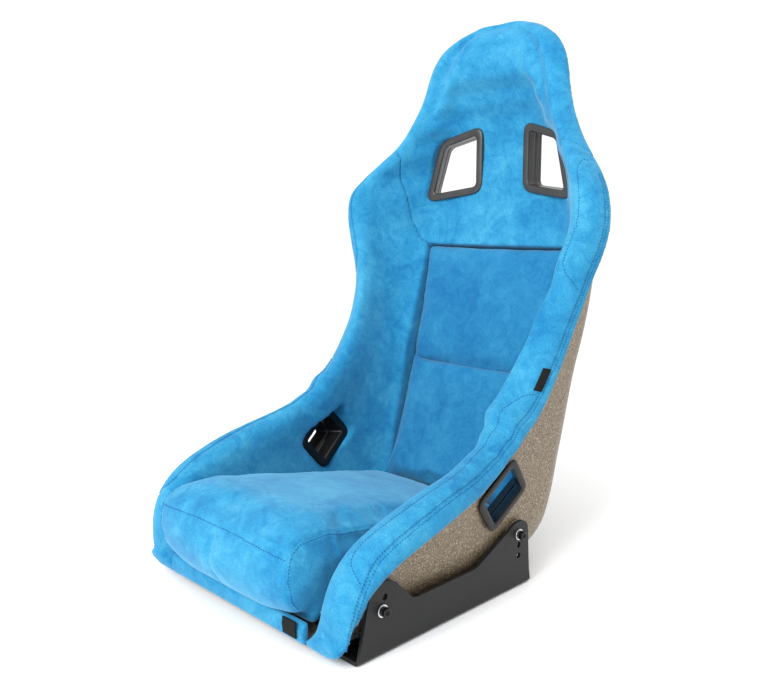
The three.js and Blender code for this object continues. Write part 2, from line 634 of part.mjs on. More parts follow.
// Rolled cover on the front edge of the pan, and the tab of the strap that holds the cushion down.
const LIP_SIDE = [[-22, 14], [-28, 14], [-32, 19], [-33, 31], [-30, 41], [-26, 44], [-22, 43]];
const LIP_HALF = 157;
addPiece('front_lip_cover', extrudeAcross(LIP_SIDE, -LIP_HALF, LIP_HALF), SUEDE);
const STRAP_SIDE = [[-34, 23], [-36, 23], [-37.5, 34], [-36.5, 45], [-34.5, 45], [-35.5, 34]];
addPiece('cushion_strap', extrudeAcross(STRAP_SIDE, 122, 148), { color: 0x0c0c0c, roughness: 0.9, metalness: 0 });

// Hook-and-loop strips bonded to the shell behind each loose pad.
const HOOK_TAPE = { color: 0x111111, roughness: 1, metalness: 0 };
const TAPE_WIDTH = 38;
const tapeCentres = [-58, 58];
const seatTape = [[60, 20.6], [290, 23.4], [290, 25.4], [60, 22.6]].map(([y, z]) => [y, z - 0.1]);
const backTape = (low, high) => {
  const heights = [low, (low * 2 + high) / 3, (low + high * 2) / 3, high];
  const rear = heights.map((z) => [backAt(z, 0.9), z]);
  return [...rear, ...rear.map(([y, z]) => [y - STRIP_THICK, z]).reverse()];
};
for (const [name, side] of [['seat', seatTape], ['lumbar', backTape(135, 255)], ['upper', backTape(320, 460)]]) {
  tapeCentres.forEach((x, i) => {
    const tape = extrudeAcross(side, x - TAPE_WIDTH / 2, x + TAPE_WIDTH / 2);
    addPiece(`${name}_hook_tape_${i === 0 ? 'right' : 'left'}`, tape, HOOK_TAPE);
  });
}

// Woven tab sewn into the outer seam of the left roll; it carries no marking.
const TAB = { row: 16.75, length: 29, width: 10, thickness: 1.2 };
const tabAt = section(TAB.row);
const tabAhead = section(TAB.row + 0.5);
const tabCentre = place(tabAt, [0, tabAt.rim - 16]);
const rimRun = place(tabAhead, [0, tabAhead.rim]).sub(place(tabAt, [0, tabAt.rim])).normalize();
const tabShape = new THREE.BoxGeometry(TAB.thickness, TAB.length, TAB.width);
tabShape.rotateX(Math.atan2(rimRun.z, rimRun.y));
tabShape.translate(tabAt.outer + 1.4 + TAB.thickness / 2, tabCentre.y, tabCentre.z);
addPiece('label_tab', solidOf(tabShape), { color: 0x0d0d0d, roughness: 0.85, metalness: 0 });

// ---------------------------------------------------------------- slot trims
const PLASTIC = { color: 0x141414, roughness: 0.45, metalness: 0 };
for (const [name, trim] of [['shoulder', shoulderTrim], ['lap', lapTrim]]) {
  for (const [side, turn] of [['left', (s) => s], ['right', mirrored]]) {
    addPiece(`${name}_trim_${side}_front`, turn(trim.front), PLASTIC);
    addPiece(`${name}_trim_${side}_rear`, turn(trim.rear), PLASTIC);
  }
}

// ---------------------------------------------------------------- side brackets and fasteners
const bracketOutline = new THREE.Shape();
bracketOutline.moveTo(0, 0);
bracketOutline.lineTo(354, 0);
bracketOutline.lineTo(350, 22);
bracketOutline.lineTo(345, 86);
bracketOutline.quadraticCurveTo(343, 103, 322, 103);
bracketOutline.quadraticCurveTo(308, 102, 299, 94);
bracketOutline.lineTo(224, 59);
bracketOutline.lineTo(98, 58);
bracketOutline.lineTo(66, 91);
bracketOutline.quadraticCurveTo(55, 99, 40, 98);
bracketOutline.quadraticCurveTo(24, 96, 19, 82);
bracketOutline.closePath();
for (const [y, z] of BRACKET.boltHoles) {
  const hole = new THREE.Path();
  hole.absarc(y, z, BRACKET.holeRadius, 0, 2 * Math.PI, true);
  bracketOutline.holes.push(hole);
}

function sideBracket() {
  const toWorld = new THREE.Matrix4().makeBasis(V3(0, 1, 0), V3(0, 0, 1), V3(1, 0, 0));
  const upright = new THREE.ExtrudeGeometry(bracketOutline, {
    depth: BRACKET.plate, bevelEnabled: false, curveSegments: 5,
  });
  upright.applyMatrix4(toWorld.setPosition(plateInside, 0, 0));
  const foot = new THREE.Shape();
  const innerX = BRACKET.outside - BRACKET.foot;
  foot.moveTo(innerX + 6, 0);
  foot.lineTo(plateInside + 1, 0);
  foot.lineTo(plateInside + 1, 354);
  foot.lineTo(innerX + 6, 354);
  foot.quadraticCurveTo(innerX, 354, innerX, 348);
  foot.lineTo(innerX, 6);
  foot.quadraticCurveTo(innerX, 0, innerX + 6, 0);
  for (const y of BRACKET.footSlots) {
    const slot = new THREE.Path();
    const x = (innerX + plateInside) / 2 - 2;
    slot.absarc(x, y + BRACKET.slotLength / 2, BRACKET.holeRadius, 0, Math.PI, false);
    slot.absarc(x, y - BRACKET.slotLength / 2, BRACKET.holeRadius, Math.PI, 2 * Math.PI, false);
    slot.closePath();
    foot.holes.push(slot);
  }
  const flat = new THREE.ExtrudeGeometry(foot, { depth: BRACKET.plate, bevelEnabled: false, curveSegments: 5 });
  return solidOf(upright).add(solidOf(flat));
}
const bracketBody = sideBracket();
const BLACK_STEEL = { color: 0x1c1c1e, roughness: 0.5, metalness: 0.6 };
addPiece('bracket_left', bracketBody, BLACK_STEEL);
addPiece('bracket_right', mirrored(bracketBody), BLACK_STEEL);

const washerFrom = BRACKET.outside + GAP;
const headFrom = washerFrom + WASHER.thickness + GAP;
const headTo = headFrom + BOLT.headHeight;
const washerProfile = [
  [WASHER.inner, washerFrom], [WASHER.outer, washerFrom], [WASHER.outer, washerFrom + WASHER.thickness],
  [WASHER.inner, washerFrom + WASHER.thickness], [WASHER.inner, washerFrom],
];
const boltProfile = [
  [0, headFrom - BOLT.reach], [BOLT.shank - 0.6, headFrom - BOLT.reach], [BOLT.shank, headFrom - BOLT.reach + 0.8],
  [BOLT.shank, headFrom], [BOLT.head, headFrom], [BOLT.head, headTo - 0.8], [BOLT.head - 0.8, headTo],
  [BOLT.socket, headTo], [BOLT.socket, headTo - BOLT.socketDepth], [0, headTo - BOLT.socketDepth],
];
const insertTo = bossFace;
const insertProfile = [
  [INSERT.bore, insertTo - INSERT.length], [INSERT.outer, insertTo - INSERT.length], [INSERT.outer, insertTo],
  [INSERT.bore, insertTo], [INSERT.bore, insertTo - INSERT.length],
];
const mountName = (m) => `${m.y < 200 ? 'front' : 'rear'}_${m.side > 0 ? 'left' : 'right'}`;
for (const m of mounts) {
  addPiece(`bolt_${mountName(m)}`, atMount(m, boltProfile, 14), { color: 0x101012, roughness: 0.35, metalness: 0.8 });
  addPiece(`washer_${mountName(m)}`, atMount(m, washerProfile, 16), {
    color: 0xc8c9cc, roughness: 0.3, metalness: 1,
  });
  addPiece(`threaded_insert_${mountName(m)}`, atMount(m, insertProfile, 12), {
    color: 0xb5a36a, roughness: 0.4, metalness: 1,
  });
}

export default group;
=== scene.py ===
"""Looks of a fixed-back racing bucket seat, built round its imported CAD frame.

Lengths in the shape code are millimetres in the section frame: X is the occupant's left, Y runs
back from the front edge of the bracket feet and Z is up. to_row() turns them into metres.
"""
import math
from types import SimpleNamespace

import bmesh
import bpy
import numpy as np
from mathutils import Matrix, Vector
from mathutils.bvhtree import BVHTree
from mathutils.kdtree import KDTree


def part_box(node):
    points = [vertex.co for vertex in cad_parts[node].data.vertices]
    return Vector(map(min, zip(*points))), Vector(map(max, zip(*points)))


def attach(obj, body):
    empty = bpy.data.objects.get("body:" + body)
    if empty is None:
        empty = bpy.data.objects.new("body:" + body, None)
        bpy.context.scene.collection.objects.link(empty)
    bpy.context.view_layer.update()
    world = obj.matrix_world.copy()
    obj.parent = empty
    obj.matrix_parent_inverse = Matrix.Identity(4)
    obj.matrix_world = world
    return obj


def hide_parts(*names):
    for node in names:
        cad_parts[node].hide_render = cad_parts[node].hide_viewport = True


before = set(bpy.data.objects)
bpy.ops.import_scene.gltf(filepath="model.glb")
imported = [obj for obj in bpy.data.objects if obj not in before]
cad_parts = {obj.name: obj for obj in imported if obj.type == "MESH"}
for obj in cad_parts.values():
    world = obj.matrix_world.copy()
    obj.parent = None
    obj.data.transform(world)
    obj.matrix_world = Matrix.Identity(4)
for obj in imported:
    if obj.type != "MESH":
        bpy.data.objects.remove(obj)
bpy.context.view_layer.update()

# ---------------------------------------------------------------- driving dimensions
MM = 0.001
MIDDLE_Y = 261.46                 # from the front of the feet to the middle of the whole seat
GAP = 0.4                         # clearance between pieces that touch
FAR = 330.0                       # further out sideways than any piece
SHELL_WALL = 5.0                  # glass-fibre laminate
FLAP_CLOTH = 4.5                  # cloth and foam wrapped over the outside of the shell
RIM_COVER = 14.0                  # padding above the top edge of the shell wall
SIDE_COVER = 8.0                  # padding outside the shell wall at the rim
EDGE_SHARE = 0.62                 # depth of the wall's edge below the crest, as a share of the roll's drop
PAD_WELL_HALF = 151.0             # half-width of the recess that holds the back pads
CUSHION_WELL_HALF = 159.0         # and of the one that holds the seat cushion
PAD_TOP = (536.0, 496.0)          # seam between the head panel and the upper back pad
FORWARD = (-0.955, 0.296)         # way out of the recess for the back pads

# Sections of the bucket from the front lip round the seat to the crown of the head:
# back y z (outer skin on the centre line), rim y z (crest of the side roll), then half-widths
# crest, outer, seam and base, the corner radius, and how far the cloth wraps down outside.
SECTIONS = np.array([
    (-20, 16, -24, 38, 206, 224, 184, 200, 10, 16),
    (-15, 15, -27, 58, 209, 230, 185, 202, 28, 34),
    (-5, 15, -22, 94, 213, 236, 187, 203, 40, 66),
    (10, 15, -8, 124, 217, 242, 189, 203, 45, 78),
    (30, 15, 16, 148, 220, 247, 191, 203, 45, 76),
    (62, 15, 52, 166, 226, 252, 193, 203, 45, 62),
    (122, 15, 110, 186, 229, 255, 195, 203, 45, 50),
    (185, 16, 168, 201, 227, 252, 197, 203, 45, 48),
    (245, 17, 212, 211, 224, 247, 200, 204, 48, 38),
    (300, 18, 245, 220, 221, 243, 202, 205, 55, 32),
    (352, 20, 268, 229, 219, 240, 202, 207, 62, 28),
    (398, 25, 286, 236, 218, 238, 201, 208, 70, 26),
    (434, 42, 300, 244, 217, 237, 200, 209, 76, 25),
    (457, 76, 312, 252, 216, 236, 200, 210, 80, 25),
    (474, 122, 322, 257, 215, 235, 200, 210, 80, 25),
    (491, 190, 338, 267, 213, 235, 201, 210, 80, 25),
    (504, 259, 364, 294, 212, 235, 203, 210, 80, 25),
    (512, 302, 390, 333, 213, 236, 206, 210, 80, 25),
    (526, 345, 410, 373, 216, 238, 210, 209, 82, 26),
    (538, 384, 420, 415, 219, 244, 213, 208, 84, 32),
    (551, 422, 423, 458, 227, 254, 217, 206, 86, 38),
    (565, 460, 421, 501, 238, 268, 222, 204, 88, 46),
    (579, 500, 418, 544, 246, 277, 227, 202, 90, 50),
    (584, 546, 420, 587, 241, 272, 226, 196, 90, 50),
    (584, 590, 437, 618, 220, 250, 206, 186, 85, 46),
    (583, 630, 457, 647, 195, 221, 182, 172, 78, 40),
    (583, 668, 477, 676, 170, 194, 158, 156, 70, 34),
    (583, 708, 488, 712, 147, 172, 134, 139, 62, 34),
    (581, 752, 499, 750, 130, 156, 116, 126, 55, 33),
    (578, 790, 505, 785, 119, 147, 104, 118, 50, 32),
    (574, 820, 509, 812, 108, 136, 92, 108, 44, 30),
    (568, 842, 514, 835, 88, 117, 72, 90, 36, 26),
    (561, 859, 523, 853, 60, 88, 46, 64, 24, 20),
    (557, 867, 533, 865, 33, 57, 24, 38, 12, 12),
    (556, 870, 532, 869, 18, 40, 13, 26, 6, 14),
], float)
LAST_ROW = len(SECTIONS) - 1

# Front face of the padding inside the rolls: row, centre height, edge x, edge height, wall x,
# and the wall's height as a share of the rim's.
LININGS = np.array([
    (0, 6, 158, 7, 172, 0.62), (2, 7, 160, 14, 176, 0.6), (5, 8, 162, 20, 179, 0.58),
    (9, 8, 162, 26, 191, 0.56), (12, 10, 158, 40, 184, 0.56), (14, 30, 152, 50, 176, 0.6),
    (16, 34, 151, 42, 172, 0.62), (19, 38, 151, 42, 181, 0.62), (22, 42, 152, 50, 200, 0.64),
    (24, 29, 140, 48, 184, 0.65), (26, 21, 110, 38, 142, 0.69), (27, 26, 90, 40, 118, 0.78),
    (28, 44, 80, 50, 100, 0.873), (29, 64, 62, 66, 86, 0.955), (30, 62, 56, 63, 78, 0.968),
    (31, 52, 42, 52, 58, 0.975), (33, 22, 12, 22, 16, 0.976), (34, 18, 7, 18, 10, 0.98),
])
# The shell wall stays nearly upright beside the brackets: row, knee half-width, knee height share.
KNEES = np.array([
    (0, 212, 0.5), (2, 215, 0.6), (3, 216, 0.62), (5, 216.5, 0.6), (9, 217, 0.46), (12, 217, 0.42),
    (14, 217, 0.45), (17, 219, 0.5), (20, 226, 0.5), (22, 233, 0.5), (24, 212, 0.5), (26, 170, 0.5),
    (28, 137, 0.5), (31, 99, 0.5), (34, 29, 0.5),
])

# The side roll stands forward and inboard of the shell's edge beside the back pads:
# row, rise of the crest, shift inboard.
ROLLS = np.array([
    (0, 0, 0), (7, 0, 0), (9, 4, 10), (11, 10, 20), (13, 24, 26), (16, 30, 27), (18, 26, 23),
    (20, 12, 12), (22, 0, 0), (34, 0, 0),
], float)


# ---------------------------------------------------------------- sections
def smooth(values, row):
    """Smooth curve through evenly spaced rows of values, read at a fractional row."""
    last = len(values) - 1
    at = min(max(row, 0.0), last)
    i = min(int(at), last - 1)
    t = at - i
    a, b, c, d = (values[min(max(i + k, 0), last)] for k in (-1, 0, 1, 2))
    return b + 0.5 * t * (c - a + t * (2 * a - 5 * b + 4 * c - d + t * (3 * (b - c) + d - a)))


def between(rows, row):
    """Eased interpolation between rows of (row, values...)."""
    k = 0
    while k < len(rows) - 2 and rows[k + 1][0] <= row:
        k += 1
    a, b = rows[k], rows[k + 1]
    t = min(max((row - a[0]) / (b[0] - a[0]), 0.0), 1.0)
    return a[1:] + (b[1:] - a[1:]) * (t * t * (3 - 2 * t))


def section(row):
    by, bz, ry, rz, crest, outer, seam, base, corner, flap = smooth(SECTIONS, row)
    centre, edge_x, edge, wall_x, wall = between(LININGS, row)
    knee_x, knee = between(KNEES, row)
    rise, inboard = between(ROLLS, row)
    rim = math.hypot(ry - by, rz - bz)
    return SimpleNamespace(
        by=by, bz=bz, rim=rim + rise, up=((ry - by) / rim, (rz - bz) / rim), crest=crest - inboard,
        outer=outer, seam=seam - inboard, base=base, corner=corner, flap=flap + rise, cover=RIM_COVER + rise,
        centre=centre, edge_x=edge_x, edge=edge,
        wall_x=wall_x, wall=wall * rim, knee_x=knee_x, knee=knee * rim,
    )


def place(s, points):
    """Section points (x, h) as (X, Y, Z)."""
    points = np.asarray(points, float)
    return np.column_stack([
        points[:, 0], s.by + s.up[0] * points[:, 1], s.bz + s.up[1] * points[:, 1],
    ])


FLOOR_STEPS = 7
CORNER_STEPS = 9
WALL_STEPS = 7


def shell_half(s, extra=0.0):
    """Half profile of the shell's outer skin from the middle to the top edge, with inward normals."""
    drop = min((s.outer - s.crest) * 1.3, s.flap * 0.8)
    cover = max(s.cover, drop * EDGE_SHARE)
    top = np.array([s.outer - SIDE_COVER - (cover - s.cover) * 0.3, max(s.rim - cover, 3.0)])
    knee = np.array([s.knee_x, min(s.knee, top[1] * 0.7)])
    turn = math.atan2(knee[1], knee[0] - s.base)
    length = math.hypot(knee[1], knee[0] - s.base)
    radius = min(s.corner, 0.85 * length / math.tan(turn / 2))
    start = s.base - radius * math.tan(turn / 2)
    floor = [(start * i / FLOOR_STEPS, 0.0) for i in range(FLOOR_STEPS)]
    angles = [turn * i / CORNER_STEPS for i in range(CORNER_STEPS + 1)]
    arc = [(start + radius * math.sin(a), radius * (1 - math.cos(a))) for a in angles]
    lower = [arc[-1] + (knee - arc[-1]) * i / WALL_STEPS for i in range(1, WALL_STEPS + 1)]
    upper = [knee + (top - knee) * i / WALL_STEPS for i in range(1, WALL_STEPS + 1)]
    points = np.array([*floor, *arc, *lower, *upper], float)
    bend = slice(len(floor) + len(arc) // 2, -1)
    for _ in range(6):
        points[bend] = (points[bend.start - 1:-2] + 2 * points[bend] + points[bend.start + 1:]) / 4
    tangent = np.gradient(points, axis=0)
    tangent /= np.linalg.norm(tangent, axis=1)[:, None]
    normal = np.column_stack([-tangent[:, 1], tangent[:, 0]])
    if extra:
        points = np.vstack([points, points[-1] + tangent[-1] * extra])
        normal = np.vstack([normal, normal[-1]])
    return points, normal


def mirror_ring(half):
    half = np.asarray(half, float)
    return np.vstack([half[:0:-1] * [-1, 1], half])


def shell_ring(s, outside, inside, extra=0.0):
    points, normal = shell_half(s, extra)
    return np.vstack([
        mirror_ring(points + normal * outside), mirror_ring(points + normal * inside)[::-1],
    ])


def catmull(control, steps):
    """Centripetal Catmull-Rom curve through the control points, steps + 1 points evenly in t."""
    control = np.asarray(control, float)
    pts = np.vstack([2 * control[0] - control[1], control, 2 * control[-1] - control[-2]])
    out = []
    for t in np.linspace(0, 1, steps + 1) * (len(control) - 1):
        i = min(int(t), len(control) - 2)
        w = t - i
        a, b, c, d = pts[i:i + 4]
        d0, d1, d2 = (max(np.linalg.norm(q - p), 1e-6) ** 0.5 for p, q in ((a, b), (b, c), (c, d)))
        t1 = ((b - a) / d0 - (c - a) / (d0 + d1) + (c - b) / d1) * d1
        t2 = ((c - b) / d1 - (d - b) / (d1 + d2) + (d - c) / d2) * d1
        out.append(b + t1 * w + (-3 * b + 3 * c - 2 * t1 - t2) * w ** 2 + (2 * b - 2 * c + t1 + t2) * w ** 3)
    return np.array(out)


FRONT_STEPS = 45


def front_half(s, steps=FRONT_STEPS):
    """Front face of the padding, from the middle over the roll to the edge of the cloth outside."""
    roll = s.outer - s.crest
    drop = min(roll * 1.3, s.flap * 0.8)
    top = (s.outer - SIDE_COVER, max(s.rim - s.cover, 3.0))
    knee_h = min(s.knee, top[1] * 0.7)
    flap_h = max(s.rim - s.flap, 2.0)
    along = min(max((flap_h - knee_h) / max(top[1] - knee_h, 1.0), 0.0), 1.0)
    flap_x = s.knee_x + (top[0] - s.knee_x) * along + FLAP_CLOTH
    return catmull([
        (0, s.centre),
        (s.edge_x * 0.55, s.centre * 0.8 + s.edge * 0.2),
        (s.edge_x, s.edge),
        (s.wall_x, s.wall),
        (s.seam, s.rim - min(9.0, s.rim * 0.2)),
        (s.crest, s.rim),
        (s.crest + roll * 0.72, s.rim - drop * 0.36),
        (s.outer, s.rim - drop),
        (flap_x + 1, (s.rim - drop) * 0.4 + flap_h * 0.6),
        (flap_x, flap_h),
    ], steps)


def padding_ring(s):
    points, normal = shell_half(s)
    back = mirror_ring(points + normal * (SHELL_WALL / 2))
    return np.vstack([mirror_ring(front_half(s)), back[::-1]])


def on_padding(row, t, side=1):
    """Point of the padding's face at a row and a share t of the way from the middle to the edge."""
    s = section(row)
    fine = front_half(s, 90)
    k = min(max(t, 0.0), 1.0) * 90
    i = min(int(k), 89)
    x, h = fine[i] + (fine[i + 1] - fine[i]) * (k - i)
    return place(s, [(x * side, h)])[0]


# ---------------------------------------------------------------- mesh tools
def to_row(points):
    return (np.asarray(points, float) - [0, MIDDLE_Y, 0]) * MM


def link(name, mesh):
    piece = bpy.data.objects.new(name, mesh)
    bpy.context.scene.collection.objects.link(piece)
    return piece


def mesh_object(name, points, faces):
    """Object from section-frame points, with its faces turned outwards."""
    mesh = bpy.data.meshes.new(name)
    mesh.from_pydata(to_row(points).tolist(), [], faces)
    bm = bmesh.new()
    bm.from_mesh(mesh)
    bmesh.ops.remove_doubles(bm, verts=bm.verts, dist=1e-6)
    bmesh.ops.recalc_face_normals(bm, faces=bm.faces)
    bm.to_mesh(mesh)
    bm.free()
    return link(name, mesh)


def loft(name, rings, closed=False):
    """Body through rings of equal length; closed joins the last ring to the first."""
    count = len(rings[0])
    pairs = [(r, r + 1) for r in range(len(rings) - 1)]
    if closed:
        pairs.append((len(rings) - 1, 0))
    faces = [
        (a * count + i, a * count + (i + 1) % count, b * count + (i + 1) % count, b * count + i)
        for a, b in pairs for i in range(count)
    ]
    if not closed:
        faces.append(tuple(range(count))[::-1])
        faces.append(tuple(range((len(rings) - 1) * count, len(rings) * count)))
    return mesh_object(name, np.vstack(rings), faces)


def prism_across(name, outline, from_x, to_x):
    """Side-view outline of (y, z) carried across from from_x to to_x."""
    rings = [[(x, y, z) for y, z in outline] for x in (from_x, to_x)]
    return loft(name, [np.array(r, float) for r in rings])


def bake(piece):
    """Applies every modifier of a piece."""
    graph = bpy.context.evaluated_depsgraph_get()
    mesh = bpy.data.meshes.new_from_object(piece.evaluated_get(graph))
    piece.modifiers.clear()
    old = piece.data
    piece.data = mesh
    bpy.data.meshes.remove(old)
    mesh.name = piece.name
    return piece


def cut(piece, *cutters, how="DIFFERENCE"):
    for cutter in cutters:
        step = piece.modifiers.new("cut", "BOOLEAN")
        step.operation = how
        step.solver = "MANIFOLD"
        step.object = cutter
    return bake(piece)


def discard(*pieces):
    for piece in pieces:
        bpy.data.objects.remove(piece, do_unlink=True)


def copy_of(piece, name):
    return link(name, piece.data.copy())


def relax(piece, times):
    """Smooths a piece the given number of times."""
    ease = piece.modifiers.new("ease", "SMOOTH")
    ease.factor = 0.5
    ease.iterations = times
    return bake(piece)


def remesh(piece, voxel, smoothing):
    step = piece.modifiers.new("remesh", "REMESH")
    step.mode = "VOXEL"
    step.voxel_size = voxel * MM
    return relax(piece, smoothing)


def coordinates(mesh, normals=False):
    values = np.empty(len(mesh.vertices) * 3)
    mesh.vertices.foreach_get("normal" if normals else "co", values)
    return values.reshape(-1, 3)


def move_points(piece, points):
    piece.data.vertices.foreach_set("co", np.asarray(points, float).ravel())
    piece.data.update()


def resample(path, pitch):
    """Points every pitch along a polyline."""
    path = np.asarray(path, float)
    steps = np.linalg.norm(np.diff(path, axis=0), axis=1)
    run = np.concatenate([[0], np.cumsum(steps)])
    at = np.arange(0, run[-1], pitch)
    return np.column_stack([np.interp(at, run, path[:, k]) for k in range(path.shape[1])])


def spline(control, steps=12):
    return catmull(control, steps * (len(control) - 1))


def groove(piece, paths, depth, width):
    """Presses a soft V into a piece along paths given in row-frame metres."""
    samples = np.vstack([resample(path, 0.001) for path in paths])
    tree = KDTree(len(samples))
    for i, point in enumerate(samples):
        tree.insert(point, i)
    tree.balance()
    points = coordinates(piece.data)
    normals = coordinates(piece.data, normals=True)
    near = np.array([tree.find(p)[2] for p in points])
    push = depth * MM * np.exp(-(near / (width * MM)) ** 1.5)
    move_points(piece, points - normals * push[:, None])


def surface_of(piece):
    bm = bmesh.new()
    bm.from_mesh(piece.data)
    tree = BVHTree.FromBMesh(bm)
    bm.free()
    return tree


def snapped(tree, path):
    """Path pulled on to a surface, with the surface's normals."""
    hits = [tree.find_nearest(Vector(p)) for p in path]
    return np.array([h[0] for h in hits]), np.array([h[1] for h in hits])


def smooth_shading(piece):
    piece.data.polygons.foreach_set("use_smooth", np.ones(len(piece.data.polygons), bool))
    return piece


def inflate(piece, voxel, pressure, cap, frames=20):
    """Fills a soft body by cloth pressure, moving no point further than cap millimetres."""
    remesh(piece, voxel, smoothing=2)
    before = coordinates(piece.data)
    cloth = piece.modifiers.new("cloth", "CLOTH")
    cloth.settings.quality = 5
    cloth.settings.mass = 0.3
    cloth.settings.use_pressure = True
    cloth.settings.uniform_pressure_force = pressure
    cloth.settings.effector_weights.gravity = 0
    cloth.settings.tension_stiffness = 12
    cloth.settings.compression_stiffness = 12
    cloth.settings.bending_stiffness = 0.4
    cloth.point_cache.frame_start = 1
    cloth.point_cache.frame_end = frames
    for step in range(1, frames + 1):
        bpy.context.scene.frame_set(step)
    bake(piece)
    bpy.context.scene.frame_set(1)
    moved = coordinates(piece.data) - before
    far = np.linalg.norm(moved, axis=1)[:, None]
    move_points(piece, before + moved * np.minimum(1, cap * MM / np.maximum(far, 1e-9)))
    return relax(piece, 2)


def refine(piece):
    """One level of subdivision."""
    piece.modifiers.new("fine", "SUBSURF").levels = 1
    return bake(piece)


def fit_to(piece, low, high):
    """Stretches a piece evenly so that its box is the given one; None leaves that axis alone."""
    points = coordinates(piece.data)
    for axis in range(3):
        if low[axis] is None:
            continue
        a, b = points[:, axis].min(), points[:, axis].max()
        points[:, axis] = low[axis] + (points[:, axis] - a) * (high[axis] - low[axis]) / (b - a)
    move_points(piece, points)
    return piece


# ---------------------------------------------------------------- materials
class Shader:
    """Small builder for one node material."""

    def __init__(self, name, **values):
        self.material = bpy.data.materials.new(name)
        self.material.use_nodes = True
        self.nodes = self.material.node_tree.nodes
        self.links = self.material.node_tree.links
        self.surface = self.nodes["Principled BSDF"]
        for socket, value in values.items():
            self.surface.inputs[socket.replace("_", " ")].default_value = value
        self.place = self.nodes.new("ShaderNodeTexCoord").outputs["Object"]

    def add(self, kind, inputs=(), **settings):
        node = self.nodes.new("ShaderNode" + kind)
        for key, value in settings.items():
            setattr(node, key, value)
        for socket, value in dict(inputs).items():
            target = node.inputs[socket]
            if isinstance(value, bpy.types.NodeSocket):
                self.links.new(value, target)
            else:
                target.default_value = value
        return node

    def noise(self, scale, detail=3, rough=0.55, distortion=0.0, vector=None):
        return self.add("TexNoise", {
            "Vector": vector or self.place, "Scale": scale, "Detail": detail, "Roughness": rough,
            "Distortion": distortion,
        }).outputs["Fac"]

    def stretched(self, x, y, z):
        return self.add("VectorMath", {0: self.place, 1: (x, y, z)}, operation="MULTIPLY").outputs[0]

    def ramp(self, value, *stops):
        node = self.add("ValToRGB", {"Fac": value})
        band = node.color_ramp
        while len(band.elements) < len(stops):
            band.elements.new(0.5)
        for element, (at, colour) in zip(band.elements, stops):
            element.position = at
            element.color = (*colour, 1) if len(colour) == 3 else colour
        return node.outputs["Color"]

    def mix(self, factor, a, b, blend="MIX"):
        node = self.add("Mix", data_type="RGBA", blend_type=blend)
        for key, value in ((0, factor), (6, a), (7, b)):
            if isinstance(value, bpy.types.NodeSocket):
                self.links.new(value, node.inputs[key])
            else:
                node.inputs[key].default_value = value if key == 0 else (*value, 1)
        return node.outputs[2]

    def maths(self, operation, a, b):
        return self.add("Math", {0: a, 1: b}, operation=operation).outputs[0]

    def blend(self, a, share_a, b, share_b):
        """Weighted sum of two values."""
        inputs = {0: a, 1: share_a, 2: self.maths("MULTIPLY", b, share_b)}
        return self.add("Math", inputs, operation="MULTIPLY_ADD").outputs[0]

    def bump(self, height, strength, distance, under=None):
        inputs = {"Height": height, "Strength": strength, "Distance": distance}
        if under is not None:
            inputs["Normal"] = under
        return self.add("Bump", inputs).outputs["Normal"]

    def set(self, **links):
        for socket, value in links.items():
            self.links.new(value, self.surface.inputs[socket.replace("_", " ")])
        return self.material


def grey(value):
    return (value, value, value)


def suede(name, deep, middle, light):
    """Brushed micro-suede: cloudy nap in two sizes, a fine fibre grain and a soft sheen."""
    shader = Shader(name, Roughness=0.92, Sheen_Weight=0.35, Sheen_Roughness=0.45, Specular_IOR_Level=0.12)
    shader.surface.inputs["Sheen Tint"].default_value = (0.45, 0.78, 1.0, 1)
    clouds = shader.noise(11, detail=4, rough=0.6, distortion=0.7)
    brushed = shader.noise(38, detail=5, rough=0.65, distortion=1.4)
    fibre = shader.noise(420, detail=3, rough=0.7)
    nap = shader.blend(clouds, 0.55, brushed, 0.45)
    tone = shader.ramp(nap, (0.36, deep), (0.5, middle), (0.66, light))
    speck = shader.ramp(fibre, (0.3, grey(0.8)), (0.7, grey(1.12)))
    colour = shader.mix(1.0, tone, speck, blend="MULTIPLY")
    fold = shader.bump(shader.noise(60, detail=3, rough=0.5), 0.35, 0.0012)
    grain = shader.bump(fibre, 0.5, 0.00035, under=fold)
    return shader.set(Base_Color=colour, Normal=grain)


def gold_flake():
    """Champagne metal-flake gel coat: each flake has its own tone and tilt under a clear coat."""
    shader = Shader("gold_flake", Metallic=0.35, Roughness=0.5, Coat_Weight=0.2, Coat_Roughness=0.3)
    flake = shader.add("TexVoronoi", {"Vector": shader.place, "Scale": 620}, feature="F1")
    fine = shader.add("TexVoronoi", {"Vector": shader.place, "Scale": 1300}, feature="F1")
    tone = shader.add("SeparateColor", {"Color": flake.outputs["Color"]}).outputs[0]
    small = shader.add("SeparateColor", {"Color": fine.outputs["Color"]}).outputs[1]
    both = shader.blend(tone, 0.6, small, 0.4)
    colour = shader.ramp(
        both, (0.05, (0.06, 0.042, 0.024)), (0.45, (0.155, 0.115, 0.07)),
        (0.8, (0.28, 0.22, 0.145)), (0.95, (0.62, 0.54, 0.42)),
    )
    tilt = shader.bump(both, 0.35, 0.0004)
    return shader.set(Base_Color=colour, Normal=tilt)


def satin(name, dark, light, rough, bump, metallic=0.0, scale=900, specular=0.5):
    """Satin moulded plastic or powder coat with a fine texture and slightly uneven gloss."""
    shader = Shader(name, Metallic=metallic, Specular_IOR_Level=specular)
    grain = shader.noise(scale, detail=2)
    wear = shader.noise(24, detail=4)
    colour = shader.ramp(wear, (0.3, dark), (0.7, light))
    gloss = shader.ramp(wear, (0.3, grey(rough - 0.06)), (0.7, grey(rough + 0.06)))
    return shader.set(Base_Color=colour, Roughness=gloss, Normal=shader.bump(grain, bump, 0.0002))


